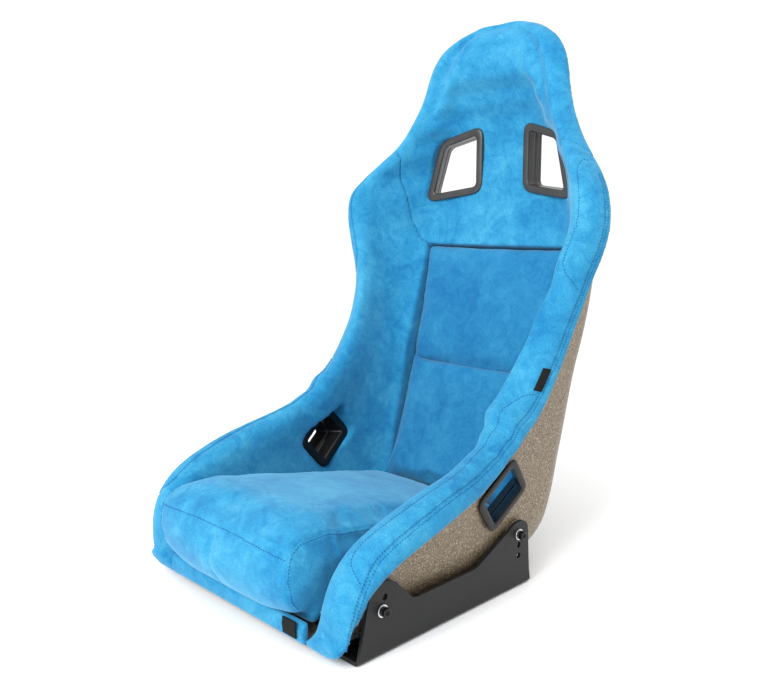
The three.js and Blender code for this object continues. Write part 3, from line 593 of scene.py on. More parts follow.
def woven(name, dark, light, thread):
    """Woven webbing: two crossing wave bands."""
    shader = Shader(name, Roughness=0.8, Specular_IOR_Level=0.2)
    inputs = {"Vector": shader.place, "Scale": thread, "Distortion": 0.4}
    across, along = (shader.add("TexWave", inputs, bands_direction=axis).outputs["Fac"] for axis in "XZ")
    weave = shader.maths("MULTIPLY", across, along)
    colour = shader.ramp(weave, (0.1, dark), (0.8, light))
    return shader.set(Base_Color=colour, Normal=shader.bump(weave, 0.6, 0.0004))


def spun_metal(name, dark, light, rough):
    """Turned or plated metal with fine tool marks."""
    shader = Shader(name, Metallic=1.0)
    marks = shader.noise(260, detail=4, vector=shader.stretched(6, 1, 1))
    colour = shader.ramp(marks, (0.3, dark), (0.7, light))
    gloss = shader.ramp(marks, (0.3, grey(rough - 0.08)), (0.7, grey(rough + 0.08)))
    return shader.set(Base_Color=colour, Roughness=gloss, Normal=shader.bump(marks, 0.2, 0.0001))


def open_foam():
    """Cut open-cell foam."""
    shader = Shader("open_foam", Roughness=0.95)
    bubbles = shader.add("TexVoronoi", {"Vector": shader.place, "Scale": 500}, feature="F1")
    cells = bubbles.outputs["Distance"]
    colour = shader.ramp(cells, (0.0, (0.4, 0.35, 0.24)), (0.6, (0.72, 0.66, 0.48)))
    return shader.set(Base_Color=colour, Normal=shader.bump(cells, 0.8, 0.0008))


SUEDE = suede("suede_blue", (0.01, 0.15, 0.33), (0.022, 0.215, 0.4), (0.05, 0.29, 0.46))
# Darker copy of the blue suede for the back pads: painted shade for the recess between the side rolls.
PAD_SUEDE_PAINTED_SHADE = suede("suede_blue_pads", (0.009, 0.125, 0.29), (0.016, 0.165, 0.335), (0.03, 0.21, 0.385))
THREAD_BLUE = suede("thread_blue", (0.004, 0.06, 0.2), (0.006, 0.09, 0.26), (0.01, 0.12, 0.32))
GOLD = gold_flake()
TRIM = satin("trim_charcoal", grey(0.024), grey(0.036), 0.34, 0.12, specular=0.4)
TRIM_BLACK = satin("trim_black", grey(0.004), grey(0.007), 0.28, 0.08, specular=0.22)
STEEL = satin("bracket_coat", grey(0.014), grey(0.021), 0.46, 0.25, scale=1500, specular=0.2)
BOLT = satin("bolt_black", grey(0.008), grey(0.02), 0.3, 0.08, metallic=0.6)
WASHER = spun_metal("washer_zinc", (0.45, 0.46, 0.48), (0.72, 0.73, 0.74), 0.3)
BRASS = spun_metal("insert_brass", (0.45, 0.32, 0.12), (0.62, 0.46, 0.2), 0.32)
WEBBING = woven("webbing_black", grey(0.003), grey(0.012), 260)
TAPE = woven("hook_tape_black", grey(0.004), grey(0.02), 500)
FOAM = open_foam()


def wear(piece, material):
    piece.data.materials.clear()
    piece.data.materials.append(material)
    return piece


def settle(piece, body, slot, material, *replaced, fill=None):
    """Gives a finished piece its material and body, and hides the CAD nodes it stands for; the slot is not
    used.
    """
    wear(smooth_shading(piece), material)
    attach(piece, body)
    if replaced:
        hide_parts(*replaced)
    return piece


# ---------------------------------------------------------------- camera, light and floor
AZIMUTH = math.radians(45.28)     # the camera looks along this heading, measured from +Y to -X
ELEVATION = math.radians(8.99)
camera_data = bpy.data.cameras.new("camera")
camera_data.lens = 38.45
camera_data.sensor_width = 36
camera = bpy.data.objects.new("camera", camera_data)
camera.location = to_row((923.5, -637.4, 543.8))
camera.rotation_euler = (math.pi / 2 - ELEVATION, 0, AZIMUTH)
bpy.context.scene.collection.objects.link(camera)
bpy.context.scene.camera = camera
bpy.context.scene.view_settings.view_transform = "Standard"


def area_light(name, place, aim, size, power):
    """Round white lamp at a place, aimed at a point."""
    data = bpy.data.lights.new(name, "AREA")
    data.shape = "DISK"
    data.size = size
    data.energy = power
    lamp = bpy.data.objects.new(name, data)
    lamp.location = place
    lamp.rotation_euler = (Vector(aim) - Vector(place)).to_track_quat("-Z", "Y").to_euler()
    bpy.context.scene.collection.objects.link(lamp)


area_light("key", (0.5, -2.4, 1.7), (0, 0, 0.5), 1.3, 76)
area_light("top", (0.6, -0.6, 2.7), (0, 0, 0.4), 1.4, 16)
world = bpy.data.worlds.new("studio")
world.use_nodes = True
world.node_tree.nodes["Background"].inputs["Color"].default_value = (1, 1, 1, 1)
world.node_tree.nodes["Background"].inputs["Strength"].default_value = 1.08
bpy.context.scene.world = world

FLOOR_REACH = 60.0                # metres
FLOOR_DROP = 0.0005
floor_mesh = bpy.data.meshes.new("studio_floor")
floor_mesh.from_pydata([
    (x * FLOOR_REACH, y * FLOOR_REACH, -FLOOR_DROP) for x, y in ((-1, -1), (1, -1), (1, 1), (-1, 1))
], [], [(0, 1, 2, 3)])
floor = link("studio_floor", floor_mesh)
floor_shader = Shader("studio_white", Roughness=0.7)
floor_tone = floor_shader.ramp(floor_shader.noise(3), (0.3, grey(0.945)), (0.7, grey(0.955)))
floor_shader.set(Base_Color=floor_tone)
wear(floor, floor_shader.material)


# ---------------------------------------------------------------- harness slots
def inset(corners, distance):
    """Corners moved inwards along the normals of their sides."""
    corners = np.asarray(corners, float)
    after = np.roll(corners, -1, axis=0)
    turn = np.sign(np.sum(corners[:, 0] * after[:, 1] - after[:, 0] * corners[:, 1]))
    along = after - corners
    along /= np.linalg.norm(along, axis=1)[:, None]
    normal = np.column_stack([-along[:, 1], along[:, 0]]) * turn
    before = np.roll(normal, 1, axis=0)
    share = distance / (1 + np.sum(before * normal, axis=1))
    return corners + (before + normal) * share[:, None]


def rounded(corners, radius, steps=9):
    """Outline with its corners rounded by parabolic arcs."""
    corners = np.asarray(corners, float)
    out = []
    for i, corner in enumerate(corners):
        ends = []
        for other in (corners[i - 1], corners[(i + 1) % len(corners)]):
            ends.append(corner + (other - corner) * radius / np.linalg.norm(other - corner))
        for t in np.linspace(0, 1, steps):
            out.append(ends[0] * (1 - t) ** 2 + corner * 2 * t * (1 - t) + ends[1] * t ** 2)
    return np.array(out)


def plane_map(origin, across, up, normal):
    """Maps outline points at a depth along the normal into the section frame."""
    def at(points, depth):
        points = np.asarray(points, float)
        return np.asarray(origin) + points[:, :1] * across + points[:, 1:] * up + np.asarray(normal) * depth
    return at


SHOULDER_SPLAY = math.radians(12)
SHOULDER_REAR_SPLAY = math.radians(7)
SHOULDER_REAR_STRETCH = 1.17      # the sleeve widens outboard towards the rear
TO_OCCUPANT = np.array([-math.sin(SHOULDER_SPLAY), -math.cos(SHOULDER_SPLAY), 0])
LAP_PITCH = math.radians(38.5)
LAP_INNER = np.array([195.0, 303.0, 157.0])
LAP_OUTER = np.array([229.0, 276.0, 155.0])
OUTBOARD = (LAP_OUTER - LAP_INNER) / np.linalg.norm(LAP_OUTER - LAP_INNER)


def shoulder_map(origin, splay, stretch=1.0):
    across = np.array([math.cos(splay), -math.sin(splay), 0]) * stretch
    return plane_map(origin, across, np.array([0, 0, 1.0]), TO_OCCUPANT)


def lap_map(origin, lean):
    c, d = math.cos(LAP_PITCH), math.sin(LAP_PITCH)
    return plane_map(origin, np.array([lean * d, c, d]), np.array([-lean * c, d, -c]), -OUTBOARD)


SHOULDER = SimpleNamespace(
    name="shoulder", corners=[(0, 59), (0, -59), (118, -76), (88, 34)], ring=13.0, round=22.0,
    front=shoulder_map((45, 557, 648.5), SHOULDER_SPLAY),
    rear=shoulder_map((45, 585, 648.5), SHOULDER_REAR_SPLAY, SHOULDER_REAR_STRETCH),
)
LAP = SimpleNamespace(
    name="lap", corners=[(-46, -37), (46, -37), (46, 37), (-46, 37)], ring=13.0, round=16.0,
    front=lap_map(LAP_INNER, 0.22), rear=lap_map(LAP_OUTER, 0.16),
)
FLANGE = 4.0                      # height of a trim's flange
SLEEVE_WALL = 2.6
CUT_REACH = 60.0                  # how far in front of a slot its cutter clears the padding


def slot_outline(slot, distance):
    return rounded(inset(slot.corners, distance), max(slot.round - distance, 4.0))


def through(slot, distance, share):
    """Outline loop inside the sleeve, at a share of the way from the front face to the rear one."""
    flat = slot_outline(slot, distance)
    return slot.front(flat, 0) * (1 - share) + slot.rear(flat, 0) * share


def slot_trim(slot, rear):
    """One half of a two-part slot trim: a rounded flange with a sleeve to the middle of the padding."""
    at, out = (slot.rear, -1) if rear else (slot.front, 1)
    ring = slot.ring

    def flange(distance, depth):
        return at(slot_outline(slot, distance), depth * out)

    def sleeve(distance, share):
        return through(slot, distance, 1 - share if rear else share)

    return [
        flange(0, 0), flange(0, 1.6), flange(0.25, 2.7), flange(0.9, 3.5), flange(2, FLANGE),
        flange(ring * 0.5, FLANGE + 0.1), flange(ring - 2.6, FLANGE), flange(ring - 1.2, 3.5),
        flange(ring - 0.3, 2.5), flange(ring, 1.2), flange(ring, 0), sleeve(ring, 0.2), sleeve(ring, 0.35),
        sleeve(ring, 0.488), sleeve(ring - SLEEVE_WALL, 0.488), sleeve(ring - SLEEVE_WALL, 0.3),
        sleeve(ring - SLEEVE_WALL, 0.03),
    ]


def slot_cutters(slot, side):
    """Bodies that open the padding and the shell for a slot's flanges and sleeve."""
    def mirrored(points):
        return np.asarray(points) * [side, 1, 1]

    clear = slot_outline(slot, -GAP)
    hole = slot.ring - SLEEVE_WALL - GAP
    shares = np.linspace(-0.8, 1.8, 27)
    tunnel = loft("slot_tunnel", [mirrored(through(slot, hole, share)) for share in shares])
    front = loft("slot_front", [mirrored(slot.front(clear, depth)) for depth in (CUT_REACH, -GAP)])
    rear = loft("slot_rear", [mirrored(slot.rear(clear, depth)) for depth in (GAP, -CUT_REACH)])
    return tunnel, front, rear


slots = {(slot.name, side): slot_cutters(slot, side) for slot in (SHOULDER, LAP) for side in (1, -1)}

# ---------------------------------------------------------------- shell
MOUNTS = {"front": (41.0, 61.0), "rear": (322.0, 83.0)}
BRACKET_OUTSIDE = 224.6
PLATE = 5.0
BOSS_FACE = BRACKET_OUTSIDE - PLATE - GAP
ROW_STEP = 0.25
fine_rows = np.arange(0, LAST_ROW + ROW_STEP / 2, ROW_STEP)


def sweep(name, ring_of, rows):
    rings = []
    for row in rows:
        s = section(row)
        rings.append(place(s, ring_of(s)))
    return loft(name, rings)


def turned(name, profile, mount, side, segments=40):
    """Round body on an axis along X at a mount; the profile is (radius, distance from the middle)."""
    y, z = MOUNTS[mount]
    angles = np.linspace(0, 2 * math.pi, segments, endpoint=False)
    rings = [
        np.column_stack([
            np.full(segments, side * x), y + r * np.cos(angles), z + r * np.sin(angles),
        ]) for r, x in profile
    ]
    return loft(name, rings, closed=profile[0][0] > 1)


def side_name(side):
    return "left" if side > 0 else "right"


shell = sweep("shell_skin", lambda s: shell_ring(s, 0, SHELL_WALL), fine_rows)
shell_cutters = [body for parts in slots.values() for body in (parts[0], parts[2])]
cut(shell, *shell_cutters)
settle(shell, "root", "gold_gelcoat", GOLD, "shell")
for mount in MOUNTS:
    for side in (1, -1):
        boss = turned(f"mount_boss_{mount}_{side_name(side)}", [
            (0.4, 196), (19, 196), (20, 197), (20, BOSS_FACE - 1.5), (19.5, BOSS_FACE - 0.5),
            (18.5, BOSS_FACE), (9, BOSS_FACE), (8.6, BOSS_FACE - 0.5), (8.6, 200), (0.4, 200),
        ], mount, side)
        settle(boss, "root", "gold_gelcoat", GOLD)

# ---------------------------------------------------------------- upholstery of the shell
SEAM_LINE = [(700, 440), (534, 492), (515, 531), (498, 586), (483, 636), (464, 676), (430, 720), (300, 840)]
seam_curve = spline(SEAM_LINE, 10)


def below_seam(name, shift):
    """Everything on the seat side of the seam between the side rolls and the head panel."""
    return prism_across(name, [
        *[(y + shift, z + shift * 0.3) for y, z in seam_curve], (-300, 840), (-300, -80), (700, -80),
    ], -FAR, FAR)


pad_well = prism_across("pad_well", [
    (-200, -60), (760, -60), (760, PAD_TOP[1] - 69), PAD_TOP,
    (PAD_TOP[0] + FORWARD[0] * 700, PAD_TOP[1] + FORWARD[1] * 700),
], -PAD_WELL_HALF, PAD_WELL_HALF)
cushion_well = prism_across("cushion_well", [
    (-200, -60), (396, -60), (396, 92), (-10, 182), (-200, 182),
], -CUSHION_WELL_HALF, CUSHION_WELL_HALF)

padding = sweep("padding", padding_ring, fine_rows)
VOXEL = 3.0
NOSE_ROWS = np.arange(0, 2.01, 0.25)
NOSE_WRAP = 4.5                   # cloth and foam carried round the shell's front lip and under it
NOSE_FORWARD = 9.0


def nose_ring(s):
    points, normal = shell_half(s)
    return np.vstack([mirror_ring(front_half(s)), mirror_ring(points - normal * NOSE_WRAP)[::-1]])


def nose_wrap():
    """Padding that closes over the shell's front lip: rows carried on forwards, then round the lip."""
    rings = []
    for row in NOSE_ROWS:
        s = section(row)
        rings.append(place(s, nose_ring(s)))
    first = rings[0]
    middle = first.mean(axis=0)
    ahead = []
    for share in (1.0, 0.72, 0.38):
        ring = first.copy()
        squeeze = 1 - 0.16 * share ** 2
        ring[:, 2] = middle[2] + (ring[:, 2] - middle[2]) * squeeze
        ring[:, 1] -= NOSE_FORWARD * share
        ahead.append(ring)
    return loft("nose_wrap", ahead + rings)


seat_side = below_seam("seat_side", 0.2)
head_side = below_seam("head_side", -0.2)

head = copy_of(padding, "head_panel")
cut(head, head_side, pad_well, *(slots["shoulder", side][part] for side in (1, -1) for part in (0, 1)))
remesh(head, VOXEL, smoothing=5)

nose = nose_wrap()
bolsters = {}
for side in (1, -1):
    piece = copy_of(padding, f"side_roll_{side_name(side)}")
    cut(piece, nose, how="UNION")
    side_view = [(-300, -80), (760, -80), (760, 900), (-300, 900)]
    half = prism_across("half", side_view, *sorted((20 * side, FAR * side)))
    cut(piece, seat_side, half, how="INTERSECT")
    cut(piece, pad_well, cushion_well, *slots["lap", side][:2])
    remesh(piece, VOXEL, smoothing=5)
    bolsters[side] = piece
    discard(half)

# ---------------------------------------------------------------- seams and stitching
STITCH_PITCH = 4.6                # thread pitch along a top-stitched seam
STITCH_LENGTH = 3.3
THREAD = 0.55


def seam_path(points, side=1, step=0.004):
    """Smooth seam through (row, share) points of the padding's face, in row-frame metres."""
    curve = spline(points, 14)
    return resample(to_row([on_padding(row, t, side) for row, t in curve]), step)


class Stitches:
    """Collects thread loops for one body and makes them one piece."""

    def __init__(self, name, body):
        self.name, self.body = name, body
        self.points, self.faces = [], []

    def run(self, piece, path, offset=0.0, lift=0.15):
        """Stitches beside a path, offset millimetres to its side along the surface."""
        tree = surface_of(piece)
        line, normal = snapped(tree, resample(path, 0.0015))
        along = np.gradient(line, axis=0)
        along /= np.maximum(np.linalg.norm(along, axis=1)[:, None], 1e-9)
        line, normal = snapped(tree, line + np.cross(normal, along) * offset * MM)
        run = np.concatenate([[0], np.cumsum(np.linalg.norm(np.diff(line, axis=0), axis=1))])
        for start in np.arange(STITCH_PITCH * MM, run[-1] - STITCH_PITCH * MM, STITCH_PITCH * MM):
            at = start + STITCH_LENGTH * MM * np.linspace(0, 1, 5)
            spine = np.column_stack([np.interp(at, run, line[:, k]) for k in range(3)])
            up = normal[min(np.searchsorted(run, start), len(normal) - 1)]
            self.thread(spine, up, lift)

    def thread(self, spine, up, lift):
        ahead = spine[-1] - spine[0]
        size = np.linalg.norm(ahead)
        if size < 1e-4:
            return
        ahead = ahead / size
        across = np.cross(up, ahead)
        across /= max(np.linalg.norm(across), 1e-9)
        base = len(self.points)
        sides = 6
        heights = np.array([-0.5, 0.6, 0.9, 0.6, -0.5]) * THREAD + lift
        widths = np.array([0.45, 0.95, 1.0, 0.95, 0.45]) * THREAD
        for point, height, width in zip(spine, heights, widths):
            for k in range(sides):
                a = 2 * math.pi * k / sides
                self.points.append(
                    point + across * math.cos(a) * width * MM + up * (height + math.sin(a) * width) * MM
                )
        for r in range(len(spine) - 1):
            for k in range(sides):
                a, b = base + r * sides + k, base + r * sides + (k + 1) % sides
                self.faces.append((a, b, b + sides, a + sides))
        self.faces.append(tuple(base + k for k in range(sides))[::-1])
        self.faces.append(tuple(base + (len(spine) - 1) * sides + k for k in range(sides)))

    def make(self):
        mesh = bpy.data.meshes.new(self.name)
        mesh.from_pydata([tuple(p) for p in self.points], [], self.faces)
        return settle(link(self.name, mesh), self.body, "suede", THREAD_BLUE)


# Seams of a side roll as (row, share of the face from the middle to the edge of the cloth).
outer_seam = [
    (0.4, 0.8), (1.8, 0.775), (2.5, 0.735), (3.3, 0.7), (4, 0.67), (5, 0.655), (6.6, 0.65), (8, 0.67),
    (10.4, 0.69), (13.7, 0.71), (16, 0.72), (18, 0.725), (20, 0.725), (22, 0.725), (24, 0.73),
]
thigh_insert = [
    (15.9, 0.705), (15.8, 0.66), (15.4, 0.625), (14.6, 0.6), (13, 0.595), (11.1, 0.575), (9.6, 0.55),
    (8, 0.53), (6, 0.515), (4.5, 0.505), (3.6, 0.51), (3.15, 0.55), (3.0, 0.6), (2.95, 0.64), (2.95, 0.69),
]
shoulder_insert = [
    (24.5, 0.71), (24.55, 0.66), (24.3, 0.61), (23.8, 0.57), (23.2, 0.55), (22.6, 0.54), (21.5, 0.525),
    (20.8, 0.54), (20.3, 0.575), (19.9, 0.62), (19.5, 0.7),
]
for side, piece in bolsters.items():
    outer_path = seam_path(outer_seam, side)
    insert_paths = [seam_path(thigh_insert, side), seam_path(shoulder_insert, side)]
    groove(piece, [outer_path, *insert_paths], 1.7, 3.2)
    thread = Stitches(f"roll_stitches_{side_name(side)}", "root")
    thread.run(piece, outer_path, 3.0)
    thread.run(piece, outer_path, -3.0)
    for path in insert_paths:
        thread.run(piece, path, 3.0 * side)
    thread.make()
    settle(piece, "root", "suede", SUEDE, f"bolster_{side_name(side)}", fill=0.8)
settle(head, "root", "suede", SUEDE, "headrest_panel", fill=0.8)

# ---------------------------------------------------------------- loose back pads
PAD_HALF = 149.5
TAPE_THICK = 2.0
PAD_CLEAR = TAPE_THICK + 2 * GAP + 2.0


def shell_face(z, clearance):
    """Depth of the shell's inner skin on the centre line at a height, less a clearance."""
    rows = np.arange(12, 30, 0.05)
    heights = [smooth(SECTIONS, row)[1] for row in rows]
    depths = [smooth(SECTIONS, row)[0] for row in rows]
    return float(np.interp(z, heights, depths)) - SHELL_WALL - clearance


def back_pad(name, rows, swell, bottom, top):
    """Pad from its front face's (height, depth) rows; it starts slim and is filled by pressure."""
    face = spline([(z, y) for z, y in rows], 8)
    rings = []
    across = np.linspace(-1, 1, 25)
    for z, y in face:
        rear = shell_face(z - 4, PAD_CLEAR)
        front = [(u * (PAD_HALF - 0.8), y + 3.0 - swell * (1 - abs(u) ** 3), z) for u in across]
        rings.append(np.array([(PAD_HALF - 0.8, rear, z - 2), (-PAD_HALF + 0.8, rear, z - 2), *front]))
    piece = loft(name, rings)
    inflate(piece, 5.0, 4.0, 7.0)
    half = (PAD_HALF + 0.5) * MM
    return fit_to(piece, (-half, None, bottom * MM), (half, None, top * MM))


LUMBAR_ROWS = [(84, 409), (100, 409), (150, 431), (200, 451), (250, 468), (281, 479)]
UPPER_ROWS = [(283.5, 482), (330, 490), (380, 502), (430, 515), (470, 526), (489, 532)]
lumbar = back_pad("lumbar_cushion", LUMBAR_ROWS, 5, 68.0, 290.0)
upper = back_pad("upper_cushion", UPPER_ROWS, 4, 280.0, 492.0)
# The back pads wear the darker suede copy, which paints the recess shade into their colour.
for piece, pad in ((lumbar, "lumbar_pad"), (upper, "upper_back_pad")):
    settle(refine(piece), pad, "suede", PAD_SUEDE_PAINTED_SHADE, pad, fill=0.7)

# ---------------------------------------------------------------- seat cushion
CUSHION_HALF = 158.0
CUSHION_SIDE = [
    (-14, 22.8), (100, 23.4), (300, 26.6), (345, 29), (386, 38), (392, 60), (386, 84), (300, 106),
    (200, 130), (100, 152), (20, 166), (-24, 166), (-50, 157), (-63, 140), (-66, 105), (-60, 70),
    (-46, 48), (-20, 46.5),
]


def cushion_rings(inward):
    side = inset(CUSHION_SIDE, inward)
    fine = np.vstack([side[k] + (side[(k + 1) % len(side)] - side[k]) * t
                      for k in range(len(side)) for t in np.linspace(0, 1, 8, endpoint=False)[:, None]])
    rings = []
    for u in np.linspace(-1, 1, 33):
        fall = abs(u) ** 4
        y = fine[:, 0] + np.where(fine[:, 0] < -30, 9 * fall, 0)
        z = np.where(fine[:, 1] > 60, fine[:, 1] - 10 * fall * (fine[:, 1] - 60) / 100, fine[:, 1])
        rings.append(np.column_stack([np.full(len(fine), u * (CUSHION_HALF - inward)), y, z]))
    return rings


foam = loft("seat_cushion_core", cushion_rings(21.0))
remesh(foam, 5.0, smoothing=3)
settle(foam, "seat_cushion", "foam", FOAM, "seat_cushion_foam", fill=0.9)
cushion = inflate(loft("seat_cushion_cover_soft", cushion_rings(3.0)), 5.0, 4.0, 8.0)
cushion_low, cushion_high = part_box("seat_cushion_cover")
fit_to(cushion, [v - 0.001 for v in cushion_low], [v + 0.001 for v in cushion_high])
refine(cushion)
front_edge = [(-156, -46, 146), (-80, -56, 153), (0, -60, 156), (80, -56, 153), (156, -46, 146)]
front_stitch = [(-164, -54, 127), (-80, -61, 136), (0, -65, 140), (80, -61, 136), (164, -54, 127)]
centre_seam = [(0, -64, 139), (0, -66, 105), (0, -58, 70), (0, -46, 50)]
end_panel = [
    (312, 95), (164, 132), (60, 154), (-10, 157), (-39, 150), (-50, 140), (-56, 122), (-57, 105), (-53, 81),
    (-46, 60), (-33, 49),
]
cushion_seams = {
    "front_edge": front_edge, "front_stitch": front_stitch, "centre": centre_seam,
    **{f"end_{side_name(side)}": [(side * 157, y, z) for y, z in end_panel] for side in (1, -1)},
}
cushion_paths = {
    name: resample(to_row(spline(points, 12)), 0.004) for name, points in cushion_seams.items()
}
cushion_surface = surface_of(cushion)
cushion_paths = {name: snapped(cushion_surface, path)[0] for name, path in cushion_paths.items()}
groove(cushion, [cushion_paths[name] for name in cushion_paths if name != "front_edge"], 1.5, 2.8)
groove(cushion, [cushion_paths["front_edge"]], -1.3, 3.4)
thread = Stitches("cushion_stitches", "seat_cushion")
thread.run(cushion, cushion_paths["front_stitch"], 2.6)
for name in ("end_left", "end_right"):
    thread.run(cushion, cushion_paths[name], 2.6)
thread.make()
settle(cushion, "seat_cushion", "suede", SUEDE, "seat_cushion_cover", fill=0.7)

# ---------------------------------------------------------------- slot trims
for slot in (SHOULDER, LAP):
    for side in (1, -1):
        for rear in (False, True):
            end = "rear" if rear else "front"
            name = f"{slot.name}_trim_{side_name(side)}_{end}"
            rings = [ring * [side, 1, 1] for ring in slot_trim(slot, rear)]
            settle(
                loft(name + "_fine", rings, closed=True), "root", "slot_trim",
                TRIM if slot is SHOULDER else TRIM_BLACK, name,
            )

# ---------------------------------------------------------------- brackets
FOOT = 50.0
BEND = 7.0
LENGTH = 354.0
FOOT_SLOTS = (48.0, 300.0)
HOLES = [(41, 61), (46, 77.5), (322, 83), (323, 66.5), (323, 50)]
HOLE = 4.4
SLOT_LENGTH = 34.0


def arc(centre, radius, start, end, steps=10):
    angles = np.radians(np.linspace(start, end, steps))
    return [(centre[0] + radius * math.cos(a), centre[1] + radius * math.sin(a)) for a in angles]


def quadratic(a, b, c, steps=10):
    return [tuple(np.array(a) * (1 - t) ** 2 + np.array(b) * 2 * t * (1 - t) + np.array(c) * t ** 2)
            for t in np.linspace(0, 1, steps)]


BRACKET_SIDE = [
    (0, -1), (LENGTH, -1), (LENGTH, 0), (350, 22), *quadratic((345, 86), (343, 103), (322, 103)),
    *quadratic((322, 103), (308, 102), (299, 94))[1:], *quadratic((232, 62.8), (224, 59), (215, 59), 5),
    *quadratic((107, 58), (98, 58), (92, 64.4), 5), *quadratic((66, 91), (55, 99), (40, 98)),
    *quadratic((40, 98), (24, 96), (19, 82))[1:], (0, 0),
]


def angle_section(side):
    """L section of the folded plate, with its bend, as (x, z)."""
    outside, inner = BRACKET_OUTSIDE, BRACKET_OUTSIDE - FOOT
    outer_bend = arc((outside - BEND, BEND), BEND, -90, 0, 8)
    inner_bend = arc((outside - BEND, BEND), BEND - PLATE, 0, -90, 8)
    points = [(inner, 0), *outer_bend, (outside, 110), (outside - PLATE, 110), *inner_bend, (inner, PLATE)]
    return np.array([(x * side, z) for x, z in points])


def round_cutter(centre, along, radius, reach, segments=32):
    """Cylinder through a hole: along is 0 for X or 2 for Z."""
    angles = np.linspace(0, 2 * math.pi, segments, endpoint=False)
    rings = []
    for far in (-reach, reach):
        offset = [np.cos(angles) * radius, np.sin(angles) * radius]
        offset.insert(along, np.full(segments, far))
        rings.append(np.asarray(centre) + np.column_stack(offset))
    return loft("round_cutter", rings)


def slot_cutter(x, y):
    half = SLOT_LENGTH / 2
    outline = [*arc((x, y + half), HOLE, 0, 180, 12), *arc((x, y - half), HOLE, 180, 360, 12)]
    return loft("slot_cutter", [np.array([(px, py, z) for px, py in outline]) for z in (-10, 20)])


def bracket(side):
    profile = angle_section(side)
    plate = loft(f"bracket_{side_name(side)}_folded", [
        np.column_stack([profile[:, 0], np.full(len(profile), y), profile[:, 1]]) for y in (-1, LENGTH + 1)
    ])
    outline = prism_across("bracket_outline", BRACKET_SIDE, *sorted((150 * side, 240 * side)))
    cut(plate, outline, how="INTERSECT")
    middle = side * (BRACKET_OUTSIDE - (FOOT + PLATE) / 2 - 2)
    tools = [round_cutter((side * BRACKET_OUTSIDE, y, z), 0, HOLE, 20) for y, z in HOLES]
    tools += [slot_cutter(middle, y) for y in FOOT_SLOTS]
    cut(plate, *tools)
    edge = plate.modifiers.new("edge", "BEVEL")
    edge.width = 0.6 * MM
    edge.segments = 2
    edge.limit_method = "ANGLE"
    edge.angle_limit = math.radians(35)
    bake(plate)
    discard(outline, *tools)
    return plate


for side in (1, -1):
    plate = bracket(side)
    settle(plate, "root", "black_steel", STEEL, f"bracket_{side_name(side)}")
    plate.data.polygons.foreach_set("use_smooth", np.zeros(len(plate.data.polygons), bool))

# ---------------------------------------------------------------- fasteners
WASHER_FROM = BRACKET_OUTSIDE + GAP
WASHER_THICK = 1.6
HEAD_FROM = WASHER_FROM + WASHER_THICK + GAP
HEAD_TO = HEAD_FROM + 8.0
SHANK = 19.0


LOOP_ANGLES = np.linspace(0, 2 * math.pi, 48, endpoint=False)


def round_loop(mount, side, x, radius):
    """Loop round a mount's axis; the radius may differ from point to point."""
    y, z = MOUNTS[mount]
    across = np.full(len(LOOP_ANGLES), side * x)
    return np.column_stack([across, y + radius * np.cos(LOOP_ANGLES), z + radius * np.sin(LOOP_ANGLES)])


def hex_loop(mount, side, x, across_flats):
    """Hexagon loop with as many points as the round loops."""
    radius = across_flats / 2 / np.cos((LOOP_ANGLES % (math.pi / 3)) - math.pi / 6)
    return round_loop(mount, side, x, radius)


def socket_screw(mount, side):
    """M8 socket-head screw: chamfered shank, knurled head and a hexagon socket."""
    def at(x, radius):
        return round_loop(mount, side, x, radius)

    knurl = 6.5 * (1 + 0.012 * np.cos(np.arange(len(LOOP_ANGLES)) * math.pi))
    end = HEAD_FROM - SHANK
    rings = [
        at(end, 0.3), at(end, 3.3), at(end + 0.8, 4), at(HEAD_FROM, 4), at(HEAD_FROM, 6.1),
        at(HEAD_FROM + 0.5, knurl), at(HEAD_TO - 1.6, knurl), at(HEAD_TO - 0.9, 6.4),
        at(HEAD_TO - 0.25, 6.0), at(HEAD_TO, 5.5), at(HEAD_TO, 4.2),
        hex_loop(mount, side, HEAD_TO - 0.3, 6.2), hex_loop(mount, side, HEAD_TO - 4.4, 6.0),
        at(HEAD_TO - 5, 0.3),
    ]
    return loft(f"screw_{mount}_{side_name(side)}", rings)


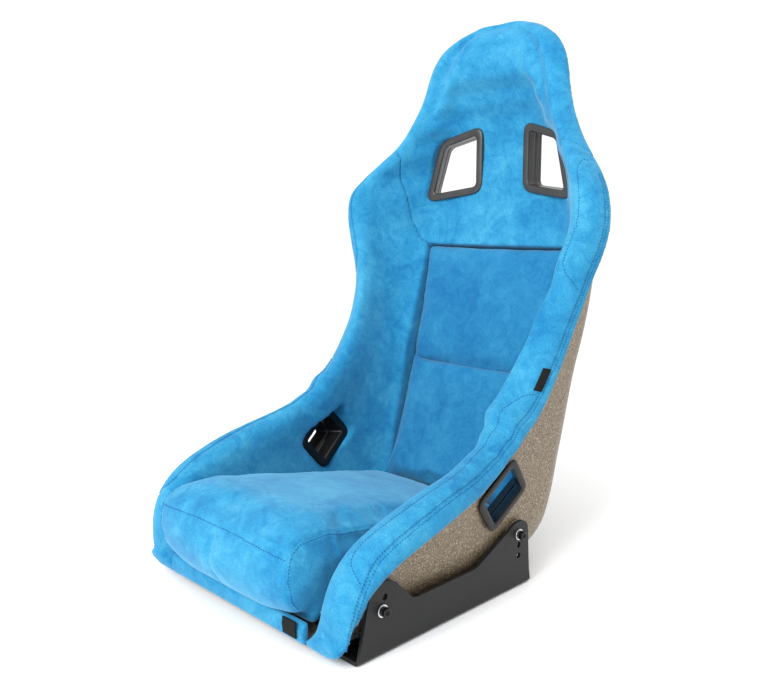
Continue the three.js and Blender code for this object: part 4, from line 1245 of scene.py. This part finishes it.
for mount in MOUNTS:
    for side in (1, -1):
        name = f"{mount}_{side_name(side)}"
        settle(socket_screw(mount, side), "root", "bolt_steel", BOLT, f"bolt_{name}")
        disc = loft(f"washer_{name}_plated", [
            round_loop(mount, side, x, r) for r, x in (
                (4.4, WASHER_FROM), (8.2, WASHER_FROM), (8.5, WASHER_FROM + 0.3),
                (8.5, WASHER_FROM + 1.3), (8.2, WASHER_FROM + WASHER_THICK),
                (4.7, WASHER_FROM + WASHER_THICK), (4.4, WASHER_FROM + 1.3),
            )
        ], closed=True)
        settle(disc, "root", "washer_steel", WASHER, f"washer_{name}")
        wear(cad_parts[f"threaded_insert_{name}"], BRASS)

# ---------------------------------------------------------------- small trim and hidden nodes
for name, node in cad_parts.items():
    if "hook_tape" in name:
        wear(node, TAPE)
strap = copy_of(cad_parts["cushion_strap"], "cushion_strap_webbing")
edge = strap.modifiers.new("edge", "BEVEL")
edge.width = 0.4 * MM
edge.segments = 2
bake(strap)
settle(strap, "root", "webbing", WEBBING, "cushion_strap")


def patch(name, rows, shares, lift, thickness):
    """Thin strip lying on the left roll between two rows and two shares of its face."""
    rings = []
    for row in np.linspace(*rows, 9):
        face = np.array([on_padding(row, t) for t in np.linspace(*shares, 5)])
        out = np.cross(on_padding(row + 0.1, shares[0]) - face[0], face[-1] - face[0])
        out /= np.linalg.norm(out)
        out *= np.sign(out @ (face.mean(axis=0) - section_middle(row)))
        rings.append(np.vstack([face + out * lift, (face + out * (lift + thickness))[::-1]]))
    return loft(name, rings)


def section_middle(row):
    s = section(row)
    return place(s, [(0.85 * s.crest, 0.5 * s.rim)])[0]


tab = patch("label_tab_folded", (15.95, 16.75), (0.676, 0.716), 0.2, 1.6)
settle(tab, "root", "webbing", WEBBING, "label_tab")
lip = copy_of(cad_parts["front_lip_cover"], "front_lip_soft")
remesh(lip, 2.0, smoothing=4)
settle(lip, "root", "suede", SUEDE, "front_lip_cover", fill=0.5)

discard(padding, nose, seat_side, head_side, pad_well, cushion_well)
discard(*{body for parts in slots.values() for body in parts})
